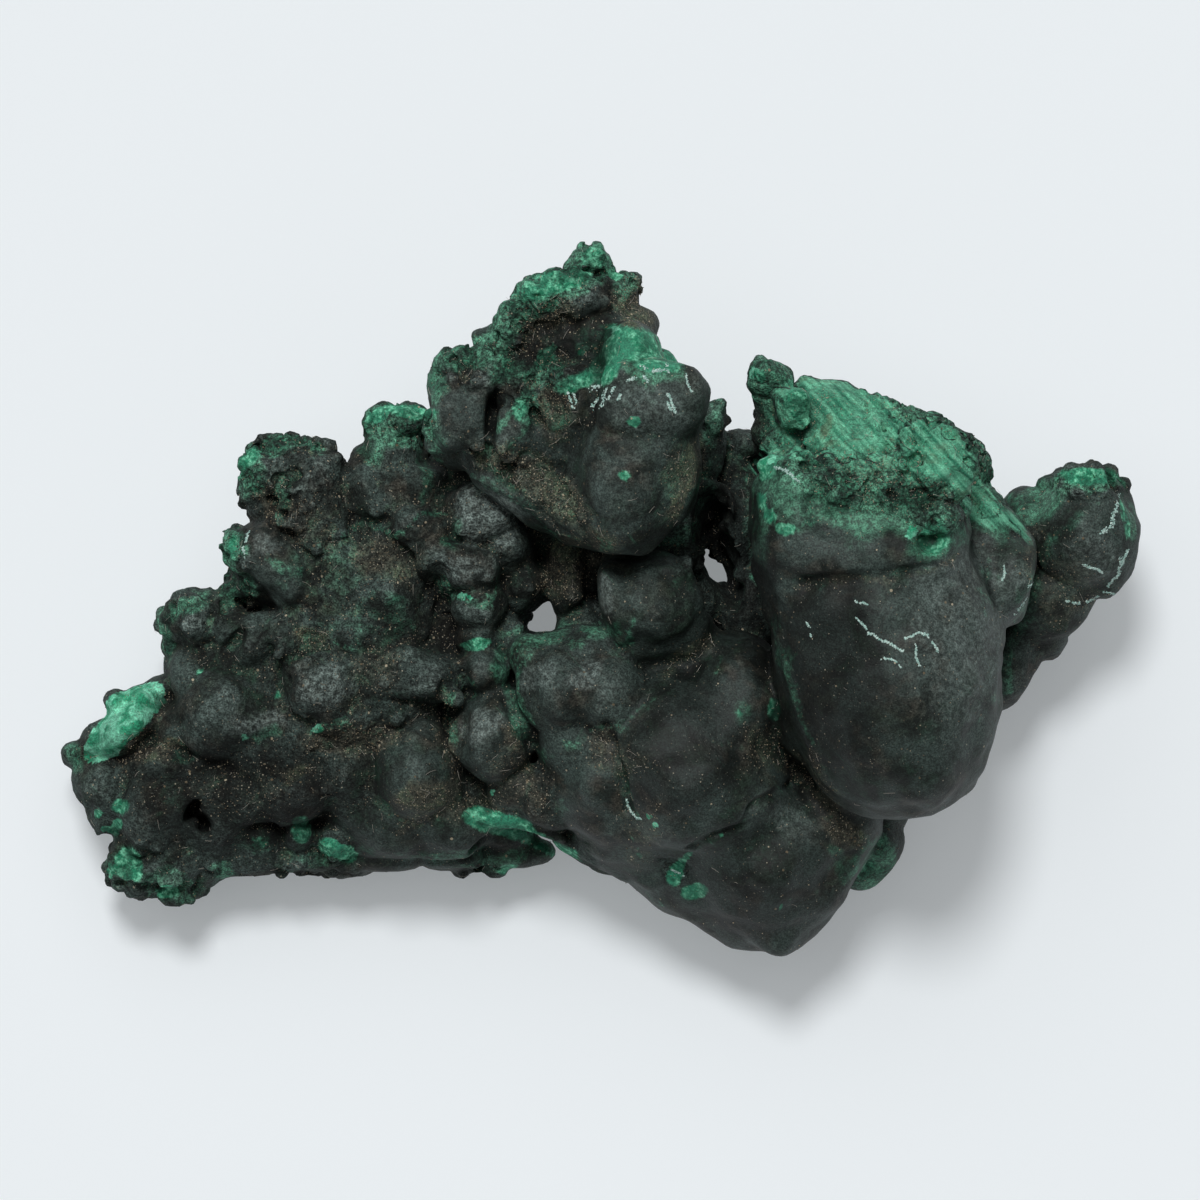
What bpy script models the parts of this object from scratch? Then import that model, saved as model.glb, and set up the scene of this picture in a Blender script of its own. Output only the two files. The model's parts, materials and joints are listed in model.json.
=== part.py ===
"""A malachite specimen: one piece of knobbly, stalactite-like malachite, lying on its broken underside.

Everything is in millimetres until the end, where MM turns it into metres. +X runs along the specimen's
length, +Z is up, and the origin is on the surface it rests on, under the middle of its bounding box.

The stone grew as rounded lumps that ran into each other. Each lump is an ellipsoid:
    (x, y, z, half length along x, half width along y, half height along z, turn about z in degrees)
A lump with an eighth number is a blocky one: the higher it is over ROUND, the flatter the lump's faces.
A voxel remesh joins them into one skin, which is then roughened, thinned and cut off flat at the floor.
"""

import math

import bmesh
import bpy
from mathutils import Euler, Matrix, Vector

MM = 0.001
NODE_NAME = "malachite_specimen"

ROUND = 2  # the blockiness of a plain ellipsoid
VOXEL = 0.75  # the skin's grid: finer than the narrowest lump
SKIN_SMOOTHING = 3  # passes that round the creases between lumps
COARSE_ROUGHNESS = (5.0, 0.8)  # size and height of the swellings over the whole skin
FINE_ROUGHNESS = (1.8, 0.35)  # size and height of the small knobs
SKIN_TRIANGLES = 9400
FLOOR_CUTTER_SIZE = 200.0

# The bulk of the stone, which the lumps stand out of. Its lowest parts are what the specimen rests on.
BODY = [
    (-23.5, -6.5, 10.5, 12.5, 12.5, 13.5, 0),
    (-31.0, -13.0, 9.0, 12.0, 9.0, 12.0, 0),
    (-36.5, -7.5, 9.5, 7.0, 7.0, 9.5, 0),
    (-41.5, -19.5, 9.0, 9.5, 8.0, 9.6, 0),
    (-36.0, -23.0, 7.0, 9.0, 5.0, 7.5, 0),
    (-19.0, -19.0, 9.5, 12.0, 6.5, 10.8, 0),
    (-14.0, 6.5, 13.0, 8.5, 9.0, 11.5, 0),
    (-28.5, 4.5, 11.5, 5.5, 7.5, 10.5, 0),
    (-11.5, -7.5, 11.0, 6.0, 9.0, 11.0, 0),
    (-8.0, -15.0, 9.0, 5.0, 7.5, 9.0, 0),
    (10.0, -18.0, 12.0, 12.5, 12.0, 13.0, -25),
    (28.0, -6.0, 10.0, 9.5, 12.0, 11.0, 0),
    (26.5, 10.0, 10.0, 8.5, 7.5, 11.0, 0),
    (-1.5, 17.0, 11.0, 7.5, 8.0, 12.0, 0),
    (-9.0, 11.0, 16.0, 8.0, 5.5, 9.0, -30),
    (0.5, -8.0, 13.0, 7.0, 6.0, 11.5, 0),
]

NORTH_WEST_KNOB = [
    (-30.0, 11.0, 19.5, 4.1, 4.2, 6.4, -6, 3),
    (-31.8, 12.4, 18.5, 3.0, 3.0, 6.0, -6, 3),
    (-28.2, 7.7, 20.2, 2.8, 2.3, 5.2, 10, 4),
    (-34.4, 11.5, 20.0, 1.1, 1.9, 3.0, 0),
    (-34.0, 13.6, 20.5, 1.3, 1.4, 3.0, 0),
    (-32.5, 14.5, 21.0, 1.6, 1.2, 3.0, 0),
    (-30.7, 14.7, 21.0, 1.6, 1.1, 3.0, 0),
    (-29.0, 14.3, 21.0, 1.5, 1.1, 3.0, 0),
    (-34.4, 9.7, 19.0, 1.0, 1.2, 2.5, 0),
    (-33.4, 9.4, 19.5, 1.5, 1.3, 3.5, 0),
    (-31.5, 8.7, 18.5, 1.5, 1.2, 4.0, 0),
]

WEST_DOME = [
    (-33.0, 4.2, 18.8, 4.2, 2.9, 6.6, -55, 3),
    (-30.6, 1.6, 19.4, 2.8, 3.2, 5.6, -30),
    (-36.4, 5.2, 15.5, 1.4, 1.5, 3.5, 0),
    (-34.8, 3.6, 14.5, 1.6, 2.4, 5.0, 0),
    (-33.2, 1.2, 15.5, 2.6, 1.9, 5.0, 0),
    (-29.8, 3.6, 19.4, 2.2, 2.4, 4.6, 0),
    (-35.9, 1.9, 13.5, 1.0, 1.1, 3.5, 0),
]

WEST_SHOULDER = [
    (-40.5, -2.3, 14.0, 2.9, 2.7, 6.2, 0),
    (-43.0, -2.4, 12.0, 1.1, 1.6, 4.0, 0),
    (-43.3, -4.8, 11.5, 0.9, 1.1, 3.0, 0),
    (-38.6, 0.0, 12.5, 1.1, 0.9, 4.0, 0),
    (-36.6, 0.6, 13.5, 1.7, 1.4, 4.5, 0),
    (-37.2, -2.6, 15.6, 3.0, 2.2, 4.2, -20),
    (-37.6, -11.2, 14.6, 5.8, 5.4, 8.6, 15),
    (-41.4, -8.0, 13.5, 2.6, 3.2, 6.0, 0),
    (-36.6, -12.9, 17.6, 4.2, 2.2, 4.6, 8),
    (-34.4, -4.0, 16.4, 3.4, 2.8, 5.0, 0),
    (-42.8, -12.8, 14.0, 2.6, 2.6, 4.5, 0),
    (-44.0, -9.0, 12.0, 1.9, 1.3, 4.0, 0),
]

WEST_TIP = [
    (-47.5, -12.8, 14.0, 4.0, 2.2, 5.5, 38),
    (-46.0, -9.8, 13.0, 2.0, 1.2, 4.5, 0),
    (-48.8, -10.4, 13.0, 1.1, 1.2, 4.0, 0),
    (-52.6, -15.5, 10.0, 1.7, 1.4, 3.6, 20),
    (-51.4, -18.2, 10.5, 1.9, 2.6, 4.2, 0),
    (-50.7, -14.3, 12.0, 1.8, 1.8, 4.0, 0),
    (-49.2, -18.7, 12.0, 3.2, 3.2, 5.8, 0),
    (-49.9, -21.5, 10.0, 2.2, 2.2, 4.6, 0),
    (-44.8, -21.0, 13.5, 3.6, 4.4, 6.0, 0),
    (-46.9, -26.3, 9.5, 3.1, 3.1, 5.0, 0),
    (-43.0, -26.0, 10.5, 3.6, 3.2, 5.4, 0),
    (-42.4, -29.0, 8.5, 2.6, 1.9, 4.2, 0),
    (-45.4, -28.4, 8.0, 1.8, 1.3, 3.4, 0),
    (-39.6, -27.6, 8.5, 1.6, 1.6, 3.8, 0),
    (-37.9, -26.9, 8.5, 1.4, 1.4, 3.6, 0),
    (-43.8, -16.6, 14.5, 2.6, 2.2, 4.5, 0),
]

SOUTH_WEST_SLOPE = [
    (-36.2, -19.6, 14.6, 4.4, 2.8, 4.2, 0),
    (-30.5, -19.0, 16.0, 4.4, 3.2, 4.6, 0),
    (-35.0, -25.8, 9.0, 3.6, 1.8, 4.6, 0),
    (-34.4, -23.8, 12.0, 2.0, 2.0, 3.6, 0),
    (-30.3, -23.4, 13.0, 1.8, 1.8, 3.8, 0),
    (-30.5, -25.8, 9.0, 3.4, 1.5, 4.2, 8),
    (-38.6, -23.3, 12.0, 1.8, 2.2, 4.5, 0),
    (-33.2, -15.0, 17.0, 3.4, 2.4, 4.0, 0),
    (-26.5, -24.4, 12.0, 2.4, 1.9, 4.5, 0),
]

PLATEAU = [
    (-23.6, 0.6, 19.8, 7.2, 7.0, 4.6, -10, 3),
    (-27.8, -8.7, 21.0, 3.5, 3.1, 4.6, -8, 3),
    (-25.0, -11.4, 20.2, 4.0, 2.0, 3.4, 10),
    (-30.4, -3.8, 18.6, 3.2, 3.0, 4.2, 0),
    (-26.6, 4.0, 20.9, 2.6, 3.4, 3.9, 0),
    (-24.9, -3.4, 21.9, 3.2, 2.2, 3.0, 20),
    (-20.8, 0.5, 22.0, 2.6, 2.4, 3.0, 0),
    (-28.4, 0.4, 20.6, 2.2, 2.2, 3.6, 0),
    (-18.0, -7.4, 21.4, 4.2, 2.9, 4.6, -12, 3),
    (-22.0, -7.4, 20.8, 3.0, 3.2, 4.6, 0),
    (-20.8, -11.0, 19.4, 3.6, 1.8, 4.2, 8),
    (-25.5, -17.0, 16.6, 3.6, 3.2, 4.4, 0),
    (-29.4, -13.8, 17.8, 2.8, 2.4, 3.6, 0),
]

NORTH_RIDGE = [
    (-20.4, 15.0, 19.5, 3.5, 3.9, 5.5, 0),
    (-19.0, 18.0, 20.0, 2.5, 1.4, 4.0, 0),
    (-21.3, 17.1, 19.5, 1.6, 1.5, 4.0, 0),
    (-24.0, 14.3, 18.5, 1.2, 1.3, 3.5, 0),
    (-23.4, 11.0, 19.6, 3.4, 3.6, 5.0, 0),
    (-18.0, 11.2, 20.6, 3.2, 3.0, 4.5, 0),
    (-18.0, 7.2, 22.4, 3.1, 1.8, 4.2, -10, 4),
    (-20.2, 11.0, 20.4, 5.0, 3.2, 4.4, -8, 4),
    (-16.2, 5.6, 22.4, 1.6, 2.2, 3.8, 0),
    (-11.8, 8.8, 22.2, 3.2, 3.2, 5.2, 30, 3),
    (-14.2, 3.6, 22.8, 4.0, 2.1, 4.6, -14, 4),
    (-9.6, 5.4, 20.0, 3.0, 3.2, 5.4, 0),
    (-12.3, -0.6, 22.2, 2.8, 2.8, 4.2, 0),
    (-12.4, -3.8, 20.8, 2.4, 1.8, 3.8, 0),
    (-21.4, 6.0, 21.0, 2.4, 2.4, 3.6, 0),
    (-7.8, 1.6, 17.5, 2.4, 3.0, 6.0, 0),
    (-3.4, 3.4, 17.0, 2.6, 3.6, 6.0, 0),
    (-9.4, -3.8, 17.5, 2.6, 3.2, 5.0, 0),
    (-3.2, 0.6, 17.0, 2.0, 2.2, 6.0, 0),
    (-6.4, 1.8, 15.5, 2.4, 1.8, 6.0, 0),
    (-3.6, -3.4, 16.0, 2.8, 1.7, 6.0, 0),
    (-1.0, -2.4, 15.0, 3.0, 2.6, 6.0, 0),
]

SOUTH_KNOBS = [
    (-11.8, -7.0, 21.5, 2.6, 2.4, 4.5, 0),
    (-10.6, -13.6, 21.0, 4.0, 4.6, 6.0, 0),
    (-8.4, -18.4, 16.5, 3.4, 3.4, 6.0, 0),
    (-18.3, -17.0, 15.6, 5.0, 6.0, 9.6, 0),
    (-20.8, -21.8, 12.0, 6.4, 4.4, 8.0, 0),
    (-15.2, -22.4, 13.0, 5.0, 3.6, 7.2, 0),
    (-27.4, -25.8, 8.5, 2.6, 1.5, 3.8, 4, 3),
    (-22.0, -26.0, 8.8, 3.8, 1.5, 3.8, -2, 3),
    (-15.0, -26.0, 9.0, 3.2, 1.4, 3.6, 2, 3),
    (-9.2, -25.7, 8.0, 2.6, 1.4, 3.4, 2, 3),
    (-6.2, -25.1, 7.5, 1.7, 1.4, 3.2, 0),
    (-9.5, -23.5, 9.0, 3.6, 2.2, 5.0, 0),
]

SOUTH_LEDGE = [
    (-4.4, -19.4, 17.0, 5.0, 4.2, 6.5, 0),
    (-10.0, -21.8, 18.2, 2.8, 1.0, 1.6, -8),
    (-6.0, -23.2, 17.0, 2.8, 1.0, 1.9, -22),
    (-2.5, -24.9, 14.0, 2.6, 1.1, 2.6, -28),
    (0.4, -24.2, 12.0, 3.0, 3.0, 7.0, 0),
]

MIDDLE_BLOCK = [
    (-3.6, -9.0, 24.0, 5.2, 5.6, 6.5, 0),
    (0.2, -9.6, 25.5, 3.8, 4.8, 5.5, 0),
    (-2.0, -14.4, 22.0, 4.6, 3.4, 6.5, 0),
    (-6.9, -5.8, 23.0, 2.3, 2.2, 4.5, 0),
    (-1.4, -5.0, 24.5, 3.4, 2.2, 4.5, 0),
]

MIDDLE_KNOB = [
    (5.2, -0.2, 26.5, 5.0, 5.0, 7.0, 0),
    (1.6, 0.2, 27.0, 2.0, 4.0, 4.6, 15),
    (4.5, -4.6, 22.5, 4.0, 2.4, 6.0, 0),
    (8.2, -3.4, 21.0, 3.4, 3.4, 7.0, 0),
    (4.0, 3.4, 20.0, 3.6, 2.4, 6.0, 0),
]

SHIELD = [
    (8.6, -16.4, 18.5, 11.6, 9.4, 15.0, -32),
    (13.6, -10.8, 20.6, 5.6, 7.4, 10.5, 0),
    (0.8, -17.6, 18.6, 5.6, 7.0, 10.0, 12),
    (16.4, -24.6, 15.5, 9.4, 8.6, 11.5, -40),
    (17.0, -31.4, 12.5, 4.8, 3.6, 7.2, -20, 3),
    (23.7, -27.6, 13.0, 5.6, 1.7, 8.0, 58, 3),
    (20.0, -32.6, 10.5, 1.7, 1.6, 6.0, 20, 3),
    (24.0, -22.2, 16.0, 4.6, 5.0, 8.5, 0),
    (3.6, -23.6, 14.0, 5.6, 4.8, 8.5, -30),
    (8.4, -27.7, 12.5, 6.6, 4.2, 7.5, -28),
    (13.0, -30.8, 11.5, 5.0, 3.4, 6.0, -20),
    (13.0, -25.5, 6.5, 8.0, 6.0, 7.0, -25),
]

EAST_LOBE = [
    (28.8, -6.9, 28.5, 11.3, 15.3, 16.0, 9),
    (33.0, -9.0, 26.0, 5.8, 9.8, 12.0, 0),
    (33.6, -1.0, 30.5, 6.4, 7.0, 10.5, 0),
    (22.4, -2.6, 31.0, 5.4, 8.0, 10.4, 0),
    (27.5, -9.5, 16.0, 10.4, 11.2, 10.5, 0),
    (34.5, -6.0, 14.0, 5.2, 7.5, 7.5, 0),
    (23.0, -17.0, 13.0, 6.0, 5.5, 8.0, 0),
    (32.5, -14.5, 13.0, 5.0, 4.8, 7.0, 0),
    (27.2, -0.8, 33.0, 10.0, 7.0, 10.8, 0),
    (25.6, 4.6, 35.8, 10.0, 3.3, 8.2, -2, 3),
    (18.9, 8.6, 34.0, 3.8, 6.6, 9.6, 0),
    (19.2, 2.2, 31.0, 3.3, 5.2, 9.4, 6),
    (25.6, 9.6, 33.0, 10.0, 5.8, 10.0, 0),
    (32.4, 7.4, 33.0, 4.0, 4.4, 10.2, 0),
    (20.8, -11.5, 21.0, 3.4, 5.6, 8.5, 22),
    (25.0, -18.8, 17.5, 4.6, 3.8, 8.5, 20),
    (20.0, 7.0, 21.0, 4.8, 6.4, 9.0, 0),
    (40.6, 2.6, 27.0, 3.0, 5.0, 7.0, 0),
    (38.4, 7.4, 27.5, 2.6, 2.6, 5.0, 0),
    (38.4, 4.0, 24.0, 3.0, 4.5, 9.0, 0),
    (37.5, 3.0, 14.0, 4.0, 5.6, 7.0, 0),
]

EAST_LOBE_BROKEN_TOP = [
    (27.0, 10.8, 24.0, 11.4, 8.2, 13.5, -25),
    (23.2, 18.0, 25.0, 5.0, 3.6, 6.5, -22),
    (31.2, 15.0, 24.0, 5.4, 3.6, 6.5, -22),
    (35.4, 13.4, 23.5, 3.2, 2.6, 6.4, -40),
    (38.3, 9.0, 24.0, 2.0, 3.2, 8.0, 30),
    (40.9, 6.8, 25.0, 3.4, 1.1, 6.0, -52),
    (42.4, 5.2, 27.0, 0.9, 1.0, 1.8, 0),
    (26.0, 13.0, 13.0, 8.0, 5.4, 8.0, -15),
    (34.0, 9.6, 12.0, 5.0, 5.0, 7.0, 0),
    (16.9, 22.1, 28.0, 2.3, 2.0, 3.2, 0),
    (19.0, 19.1, 31.0, 1.7, 1.9, 4.2, 0, 3),
    (17.0, 19.6, 25.0, 1.7, 2.4, 4.0, 0),
    (17.2, 16.8, 24.0, 2.0, 2.6, 5.0, 0),
    (18.6, 15.6, 26.0, 2.4, 2.6, 6.0, 0),
]

BRIDGE = [
    (8.0, 8.0, 18.0, 5.6, 5.0, 7.5, 0),
    (13.4, 8.6, 9.5, 4.0, 7.4, 8.4, 0),
    (14.5, -1.0, 9.0, 3.4, 6.0, 8.0, 0),
    (9.5, 1.0, 9.0, 3.4, 4.6, 7.5, 0),
    (6.5, 6.5, 10.0, 4.0, 5.5, 7.5, 0),
    (11.4, 18.1, 20.0, 1.3, 2.0, 2.6, 0),
    (10.9, 15.8, 17.0, 1.8, 2.0, 3.6, 0),
    (9.4, 14.8, 17.0, 2.6, 3.4, 5.0, 0),
    (8.0, 15.5, 10.0, 4.4, 5.0, 7.0, 0),
    (-0.4, 3.2, 15.0, 2.6, 3.2, 6.0, 0),
    (14.2, 15.4, 12.0, 2.4, 1.8, 5.0, 0),
]

EAST_ARM = [
    (48.6, 7.0, 20.5, 5.0, 6.0, 6.5, 0),
    (49.8, 5.4, 18.5, 4.3, 5.1, 6.0, 0),
    (48.3, 10.4, 19.5, 3.6, 2.3, 4.5, 0),
    (50.3, 7.4, 20.0, 3.4, 4.2, 5.5, 0),
    (45.5, 4.8, 13.0, 4.4, 5.4, 6.5, 0),
    (43.3, 7.2, 16.5, 3.8, 3.8, 6.0, 0),
    (45.0, 0.2, 15.5, 5.2, 4.2, 6.5, 45),
    (45.0, -3.4, 12.5, 2.2, 2.5, 4.5, 0),
    (42.0, -1.0, 8.5, 4.0, 5.4, 6.5, 0),
    (40.8, -6.4, 12.5, 3.4, 5.8, 6.0, -30),
    (37.5, -5.0, 6.5, 4.4, 6.4, 6.0, 0),
    (48.9, 12.5, 22.5, 2.3, 0.9, 2.0, 0),
    (28.5, -24.6, 10.0, 2.2, 2.8, 4.0, 0),
    (26.8, -27.0, 8.5, 3.0, 2.0, 3.6, 20),
    (29.4, -20.8, 10.0, 2.2, 2.4, 5.0, 0),
]

NORTH_LOBE = [
    (3.2, 13.4, 34.0, 6.6, 8.6, 8.4, 0),
    (2.4, 12.4, 37.2, 4.6, 7.2, 7.0, 0),
    (2.0, 9.0, 33.0, 4.6, 4.4, 7.5, 0),
    (5.0, 19.7, 38.2, 5.7, 4.3, 6.4, -10, 3),
    (3.0, 23.9, 36.0, 3.6, 3.6, 6.2, 0),
    (3.1, 25.8, 39.0, 1.6, 1.6, 3.0, 0),
    (2.0, 16.5, 25.0, 6.6, 8.0, 9.5, 0),
    (-5.8, 12.0, 28.0, 9.6, 4.6, 6.6, -30),
    (-1.0, 10.0, 30.0, 5.4, 5.0, 7.0, -25),
    (-13.8, 18.6, 33.4, 3.1, 3.7, 4.4, 8, 4),
    (-12.6, 18.4, 27.5, 3.2, 3.6, 4.5, 0),
    (-14.0, 14.8, 26.5, 2.6, 2.4, 4.0, 0),
    (-8.6, 16.9, 34.2, 2.4, 2.5, 3.8, 15, 3),
    (-15.7, 21.0, 33.5, 1.8, 1.8, 2.5, 0),
    (-13.2, 23.8, 33.5, 3.4, 1.5, 2.5, 15),
    (-11.5, 22.4, 34.5, 3.0, 1.9, 2.5, 10),
    (-11.3, 26.0, 31.5, 1.2, 1.3, 1.8, 0),
    (-11.6, 21.6, 29.0, 3.6, 3.4, 4.8, 0),
    (-5.0, 30.2, 34.0, 4.2, 2.3, 4.0, 22),
    (-1.5, 29.9, 34.0, 3.4, 2.6, 3.8, 0),
    (-8.0, 27.0, 33.6, 2.2, 2.8, 4.2, -10),
    (-1.0, 26.6, 33.6, 2.0, 2.4, 3.8, 0),
    (-3.6, 25.0, 29.5, 6.0, 5.2, 7.5, 0),
    (1.0, 25.6, 30.5, 4.0, 4.6, 7.0, 0),
    (-0.9, 33.5, 32.0, 2.0, 1.6, 2.6, 0),
    (2.5, 31.0, 31.4, 1.2, 1.3, 2.6, 0),
    (1.4, 29.6, 31.0, 1.8, 1.8, 3.2, 0),
    (4.0, 27.2, 31.0, 1.9, 2.0, 4.2, 0),
    (-7.6, 21.5, 31.5, 4.4, 4.0, 6.0, 0),
    (-2.0, 20.0, 34.0, 4.4, 4.4, 6.0, 0),
    (-4.8, 16.2, 32.5, 3.2, 3.0, 4.5, 0),
    (-3.0, 21.5, 19.5, 6.5, 6.5, 8.0, 0),
    (-9.0, 18.0, 21.5, 5.2, 4.6, 6.5, 0),
    (3.6, 20.5, 16.0, 5.2, 5.2, 7.5, 0),
]

MASSES = [
    BODY, NORTH_WEST_KNOB, WEST_DOME, WEST_SHOULDER, WEST_TIP, SOUTH_WEST_SLOPE, PLATEAU, NORTH_RIDGE,
    SOUTH_KNOBS, SOUTH_LEDGE, MIDDLE_BLOCK, MIDDLE_KNOB, SHIELD, EAST_LOBE, EAST_LOBE_BROKEN_TOP, BRIDGE,
    EAST_ARM, NORTH_LOBE,
]

# Ellipsoids cut out of the skin: pits, clefts, the recess under the ledge and the two holes through it.
HOLLOWS = [
    (-41.0, -21.2, 20.0, 0.9, 1.6, 8.0, -30),
    (-40.0, -22.4, 20.0, 1.0, 1.3, 9.0, 20),
    (-31.0, 11.8, 26.5, 1.5, 1.0, 3.2, 20),
    (-32.6, 9.6, 25.0, 1.3, 1.5, 3.4, -30),
    (-4.8, 26.6, 40.4, 1.5, 2.3, 5.0, 20),
    (-2.0, 23.6, 42.6, 2.4, 1.0, 4.0, 10),
    (-10.8, 18.4, 39.0, 0.7, 2.8, 6.0, -4),
    (25.0, 10.2, 57.0, 11.0, 6.2, 14.0, -14),
    (32.5, 6.0, 43.6, 1.6, 1.5, 2.6, 0),
    (12.2, 4.0, 30.0, 2.6, 8.6, 20.0, 12),
    (-6.0, -2.5, 12.0, 1.5, 0.6, 26.0, 4),
    (-5.0, -1.6, 12.0, 0.6, 1.5, 26.0, 8),
    (10.8, 3.9, 6.0, 0.8, 2.1, 20.0, 20),
    (12.1, 2.4, 6.0, 0.8, 1.4, 20.0, 10),
    (-7.0, -26.0, 15.6, 7.0, 2.4, 3.0, -18),
    (-16.8, 0.4, 26.8, 1.8, 3.4, 5.0, -20),
    (-26.0, 8.8, 27.5, 1.2, 3.6, 3.2, -22),
    (-38.0, -16.8, 22.0, 5.0, 1.3, 3.0, -10),
    (-31.0, -15.6, 23.6, 1.1, 5.0, 2.8, 25),
    (-24.0, -15.2, 24.2, 4.6, 1.0, 2.6, 14),
    (-13.8, -11.0, 26.0, 1.1, 5.0, 3.6, 0),
    (-32.2, -8.0, 24.6, 1.0, 4.8, 5.4, 8),
    (-36.8, -4.6, 21.4, 1.0, 2.6, 3.4, -40),
]


def clear_scene():
    for obj in list(bpy.data.objects):
        bpy.data.objects.remove(obj, do_unlink=True)


def malachite_material():
    material = bpy.data.materials.new("malachite")
    material.use_nodes = True
    shader = material.node_tree.nodes["Principled BSDF"]
    shader.inputs["Base Color"].default_value = (0.022, 0.038, 0.033, 1.0)
    shader.inputs["Roughness"].default_value = 0.75
    shader.inputs["Metallic"].default_value = 0.0
    return material


def linked(name, mesh):
    obj = bpy.data.objects.new(name, mesh)
    bpy.context.collection.objects.link(obj)
    return obj


def add_lump(bm, x, y, z, half_length, half_width, half_height, turn, blockiness=ROUND):
    place = Matrix.Translation(Vector((x, y, z)) * MM)
    place @= Euler((0, 0, math.radians(turn))).to_matrix().to_4x4()
    place @= Matrix.Diagonal((half_length * MM, half_width * MM, half_height * MM, 1))
    made = bmesh.ops.create_icosphere(bm, subdivisions=3, radius=1)
    for vert in made["verts"]:
        reach = sum(abs(side) ** blockiness for side in vert.co) ** (1 / blockiness)
        vert.co = place @ (vert.co / reach)


def lumps_object(name, lumps):
    bm = bmesh.new()
    for lump in lumps:
        add_lump(bm, *lump)
    mesh = bpy.data.meshes.new(name)
    bm.to_mesh(mesh)
    bm.free()
    return linked(name, mesh)


def hide_cutter(cutter):
    cutter.hide_render = True
    cutter.display_type = "WIRE"
    return cutter


def add_skin(obj, name):
    """Joins every lump into one closed skin."""
    skin = obj.modifiers.new(name, "REMESH")
    skin.mode = "VOXEL"
    skin.voxel_size = VOXEL * MM


def add_cut(obj, name, cutter, cutter_crosses_itself=False):
    cut = obj.modifiers.new(name, "BOOLEAN")
    cut.operation = "DIFFERENCE"
    cut.solver = "EXACT"
    cut.use_self = cutter_crosses_itself
    cut.object = cutter


def apply_modifiers(obj):
    graph = bpy.context.evaluated_depsgraph_get()
    mesh = bpy.data.meshes.new_from_object(obj.evaluated_get(graph))
    obj.modifiers.clear()
    obj.data = mesh


def drop_sealed_cavities(obj):
    """Keeps the outer skin and deletes the skins of the spaces that the lumps enclose."""
    bm = bmesh.new()
    bm.from_mesh(obj.data)
    shells = connected_shells(bm)
    outer = max(shells, key=len)
    for shell in shells:
        if shell is not outer:
            bmesh.ops.delete(bm, geom=list(shell), context="VERTS")
    bm.to_mesh(obj.data)
    bm.free()


def connected_shells(bm):
    left = set(bm.verts)
    shells = []
    while left:
        reached = {left.pop()}
        edge_of_search = list(reached)
        while edge_of_search:
            vert = edge_of_search.pop()
            for edge in vert.link_edges:
                other = edge.other_vert(vert)
                if other in left:
                    left.remove(other)
                    reached.add(other)
                    edge_of_search.append(other)
        shells.append(reached)
    return shells


def roughen(obj, name, size, height):
    texture = bpy.data.textures.new(name, "CLOUDS")
    texture.noise_scale = size * MM
    texture.noise_depth = 1
    displace = obj.modifiers.new(name, "DISPLACE")
    displace.texture = texture
    displace.texture_coords = "LOCAL"
    displace.mid_level = 0.5
    displace.strength = 2 * height * MM


def triangles_in(obj):
    graph = bpy.context.evaluated_depsgraph_get()
    mesh = obj.evaluated_get(graph).to_mesh()
    return sum(len(face.vertices) - 2 for face in mesh.polygons)


def floor_cutter():
    """A block whose top face is the floor."""
    mesh = bpy.data.meshes.new("floor_cutter")
    bm = bmesh.new()
    bmesh.ops.create_cube(bm, size=FLOOR_CUTTER_SIZE * MM)
    bm.to_mesh(mesh)
    bm.free()
    cutter = linked("floor_cutter", mesh)
    cutter.location.z = -FLOOR_CUTTER_SIZE / 2 * MM
    return hide_cutter(cutter)


def centre_over_origin(obj):
    """Moves the mesh sideways, so that its bounding box stands over the origin."""
    for axis in (0, 1):
        along = [vert.co[axis] for vert in obj.data.vertices]
        middle = (min(along) + max(along)) / 2
        for vert in obj.data.vertices:
            vert.co[axis] -= middle


def specimen():
    stone = lumps_object(NODE_NAME, [lump for mass in MASSES for lump in mass])
    stone.data.materials.append(malachite_material())

    add_skin(stone, "skin")
    hollows = hide_cutter(lumps_object("hollows", HOLLOWS))
    add_cut(stone, "hollows", hollows, cutter_crosses_itself=True)
    add_skin(stone, "cut_skin")
    apply_modifiers(stone)
    drop_sealed_cavities(stone)

    rounding = stone.modifiers.new("rounding", "SMOOTH")
    rounding.iterations = SKIN_SMOOTHING

    roughen(stone, "swellings", *COARSE_ROUGHNESS)
    roughen(stone, "knobs", *FINE_ROUGHNESS)

    kept_share = SKIN_TRIANGLES / triangles_in(stone)
    thinning = stone.modifiers.new("thinning", "DECIMATE")
    thinning.ratio = kept_share

    add_cut(stone, "base", floor_cutter())
    apply_modifiers(stone)
    centre_over_origin(stone)
    return stone


clear_scene()
specimen()
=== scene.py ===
"""The look of a malachite specimen: one dark, knobbly stone with crusts, broken faces, dust, sand and lint.

The stone's skin is worked out here at a finer grain than the solid's, from the same rounded lumps, and takes
the solid's place. Lengths are in millimetres up to the point where MM turns a mesh into metres. The lists'
own frame is the camera's: x to the right and y up in the picture, with (0, 0) in the picture's middle.
"""

import json
import math

import bpy
import numpy as np
import openvdb
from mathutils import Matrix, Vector, noise
from mathutils.bvhtree import BVHTree

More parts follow.
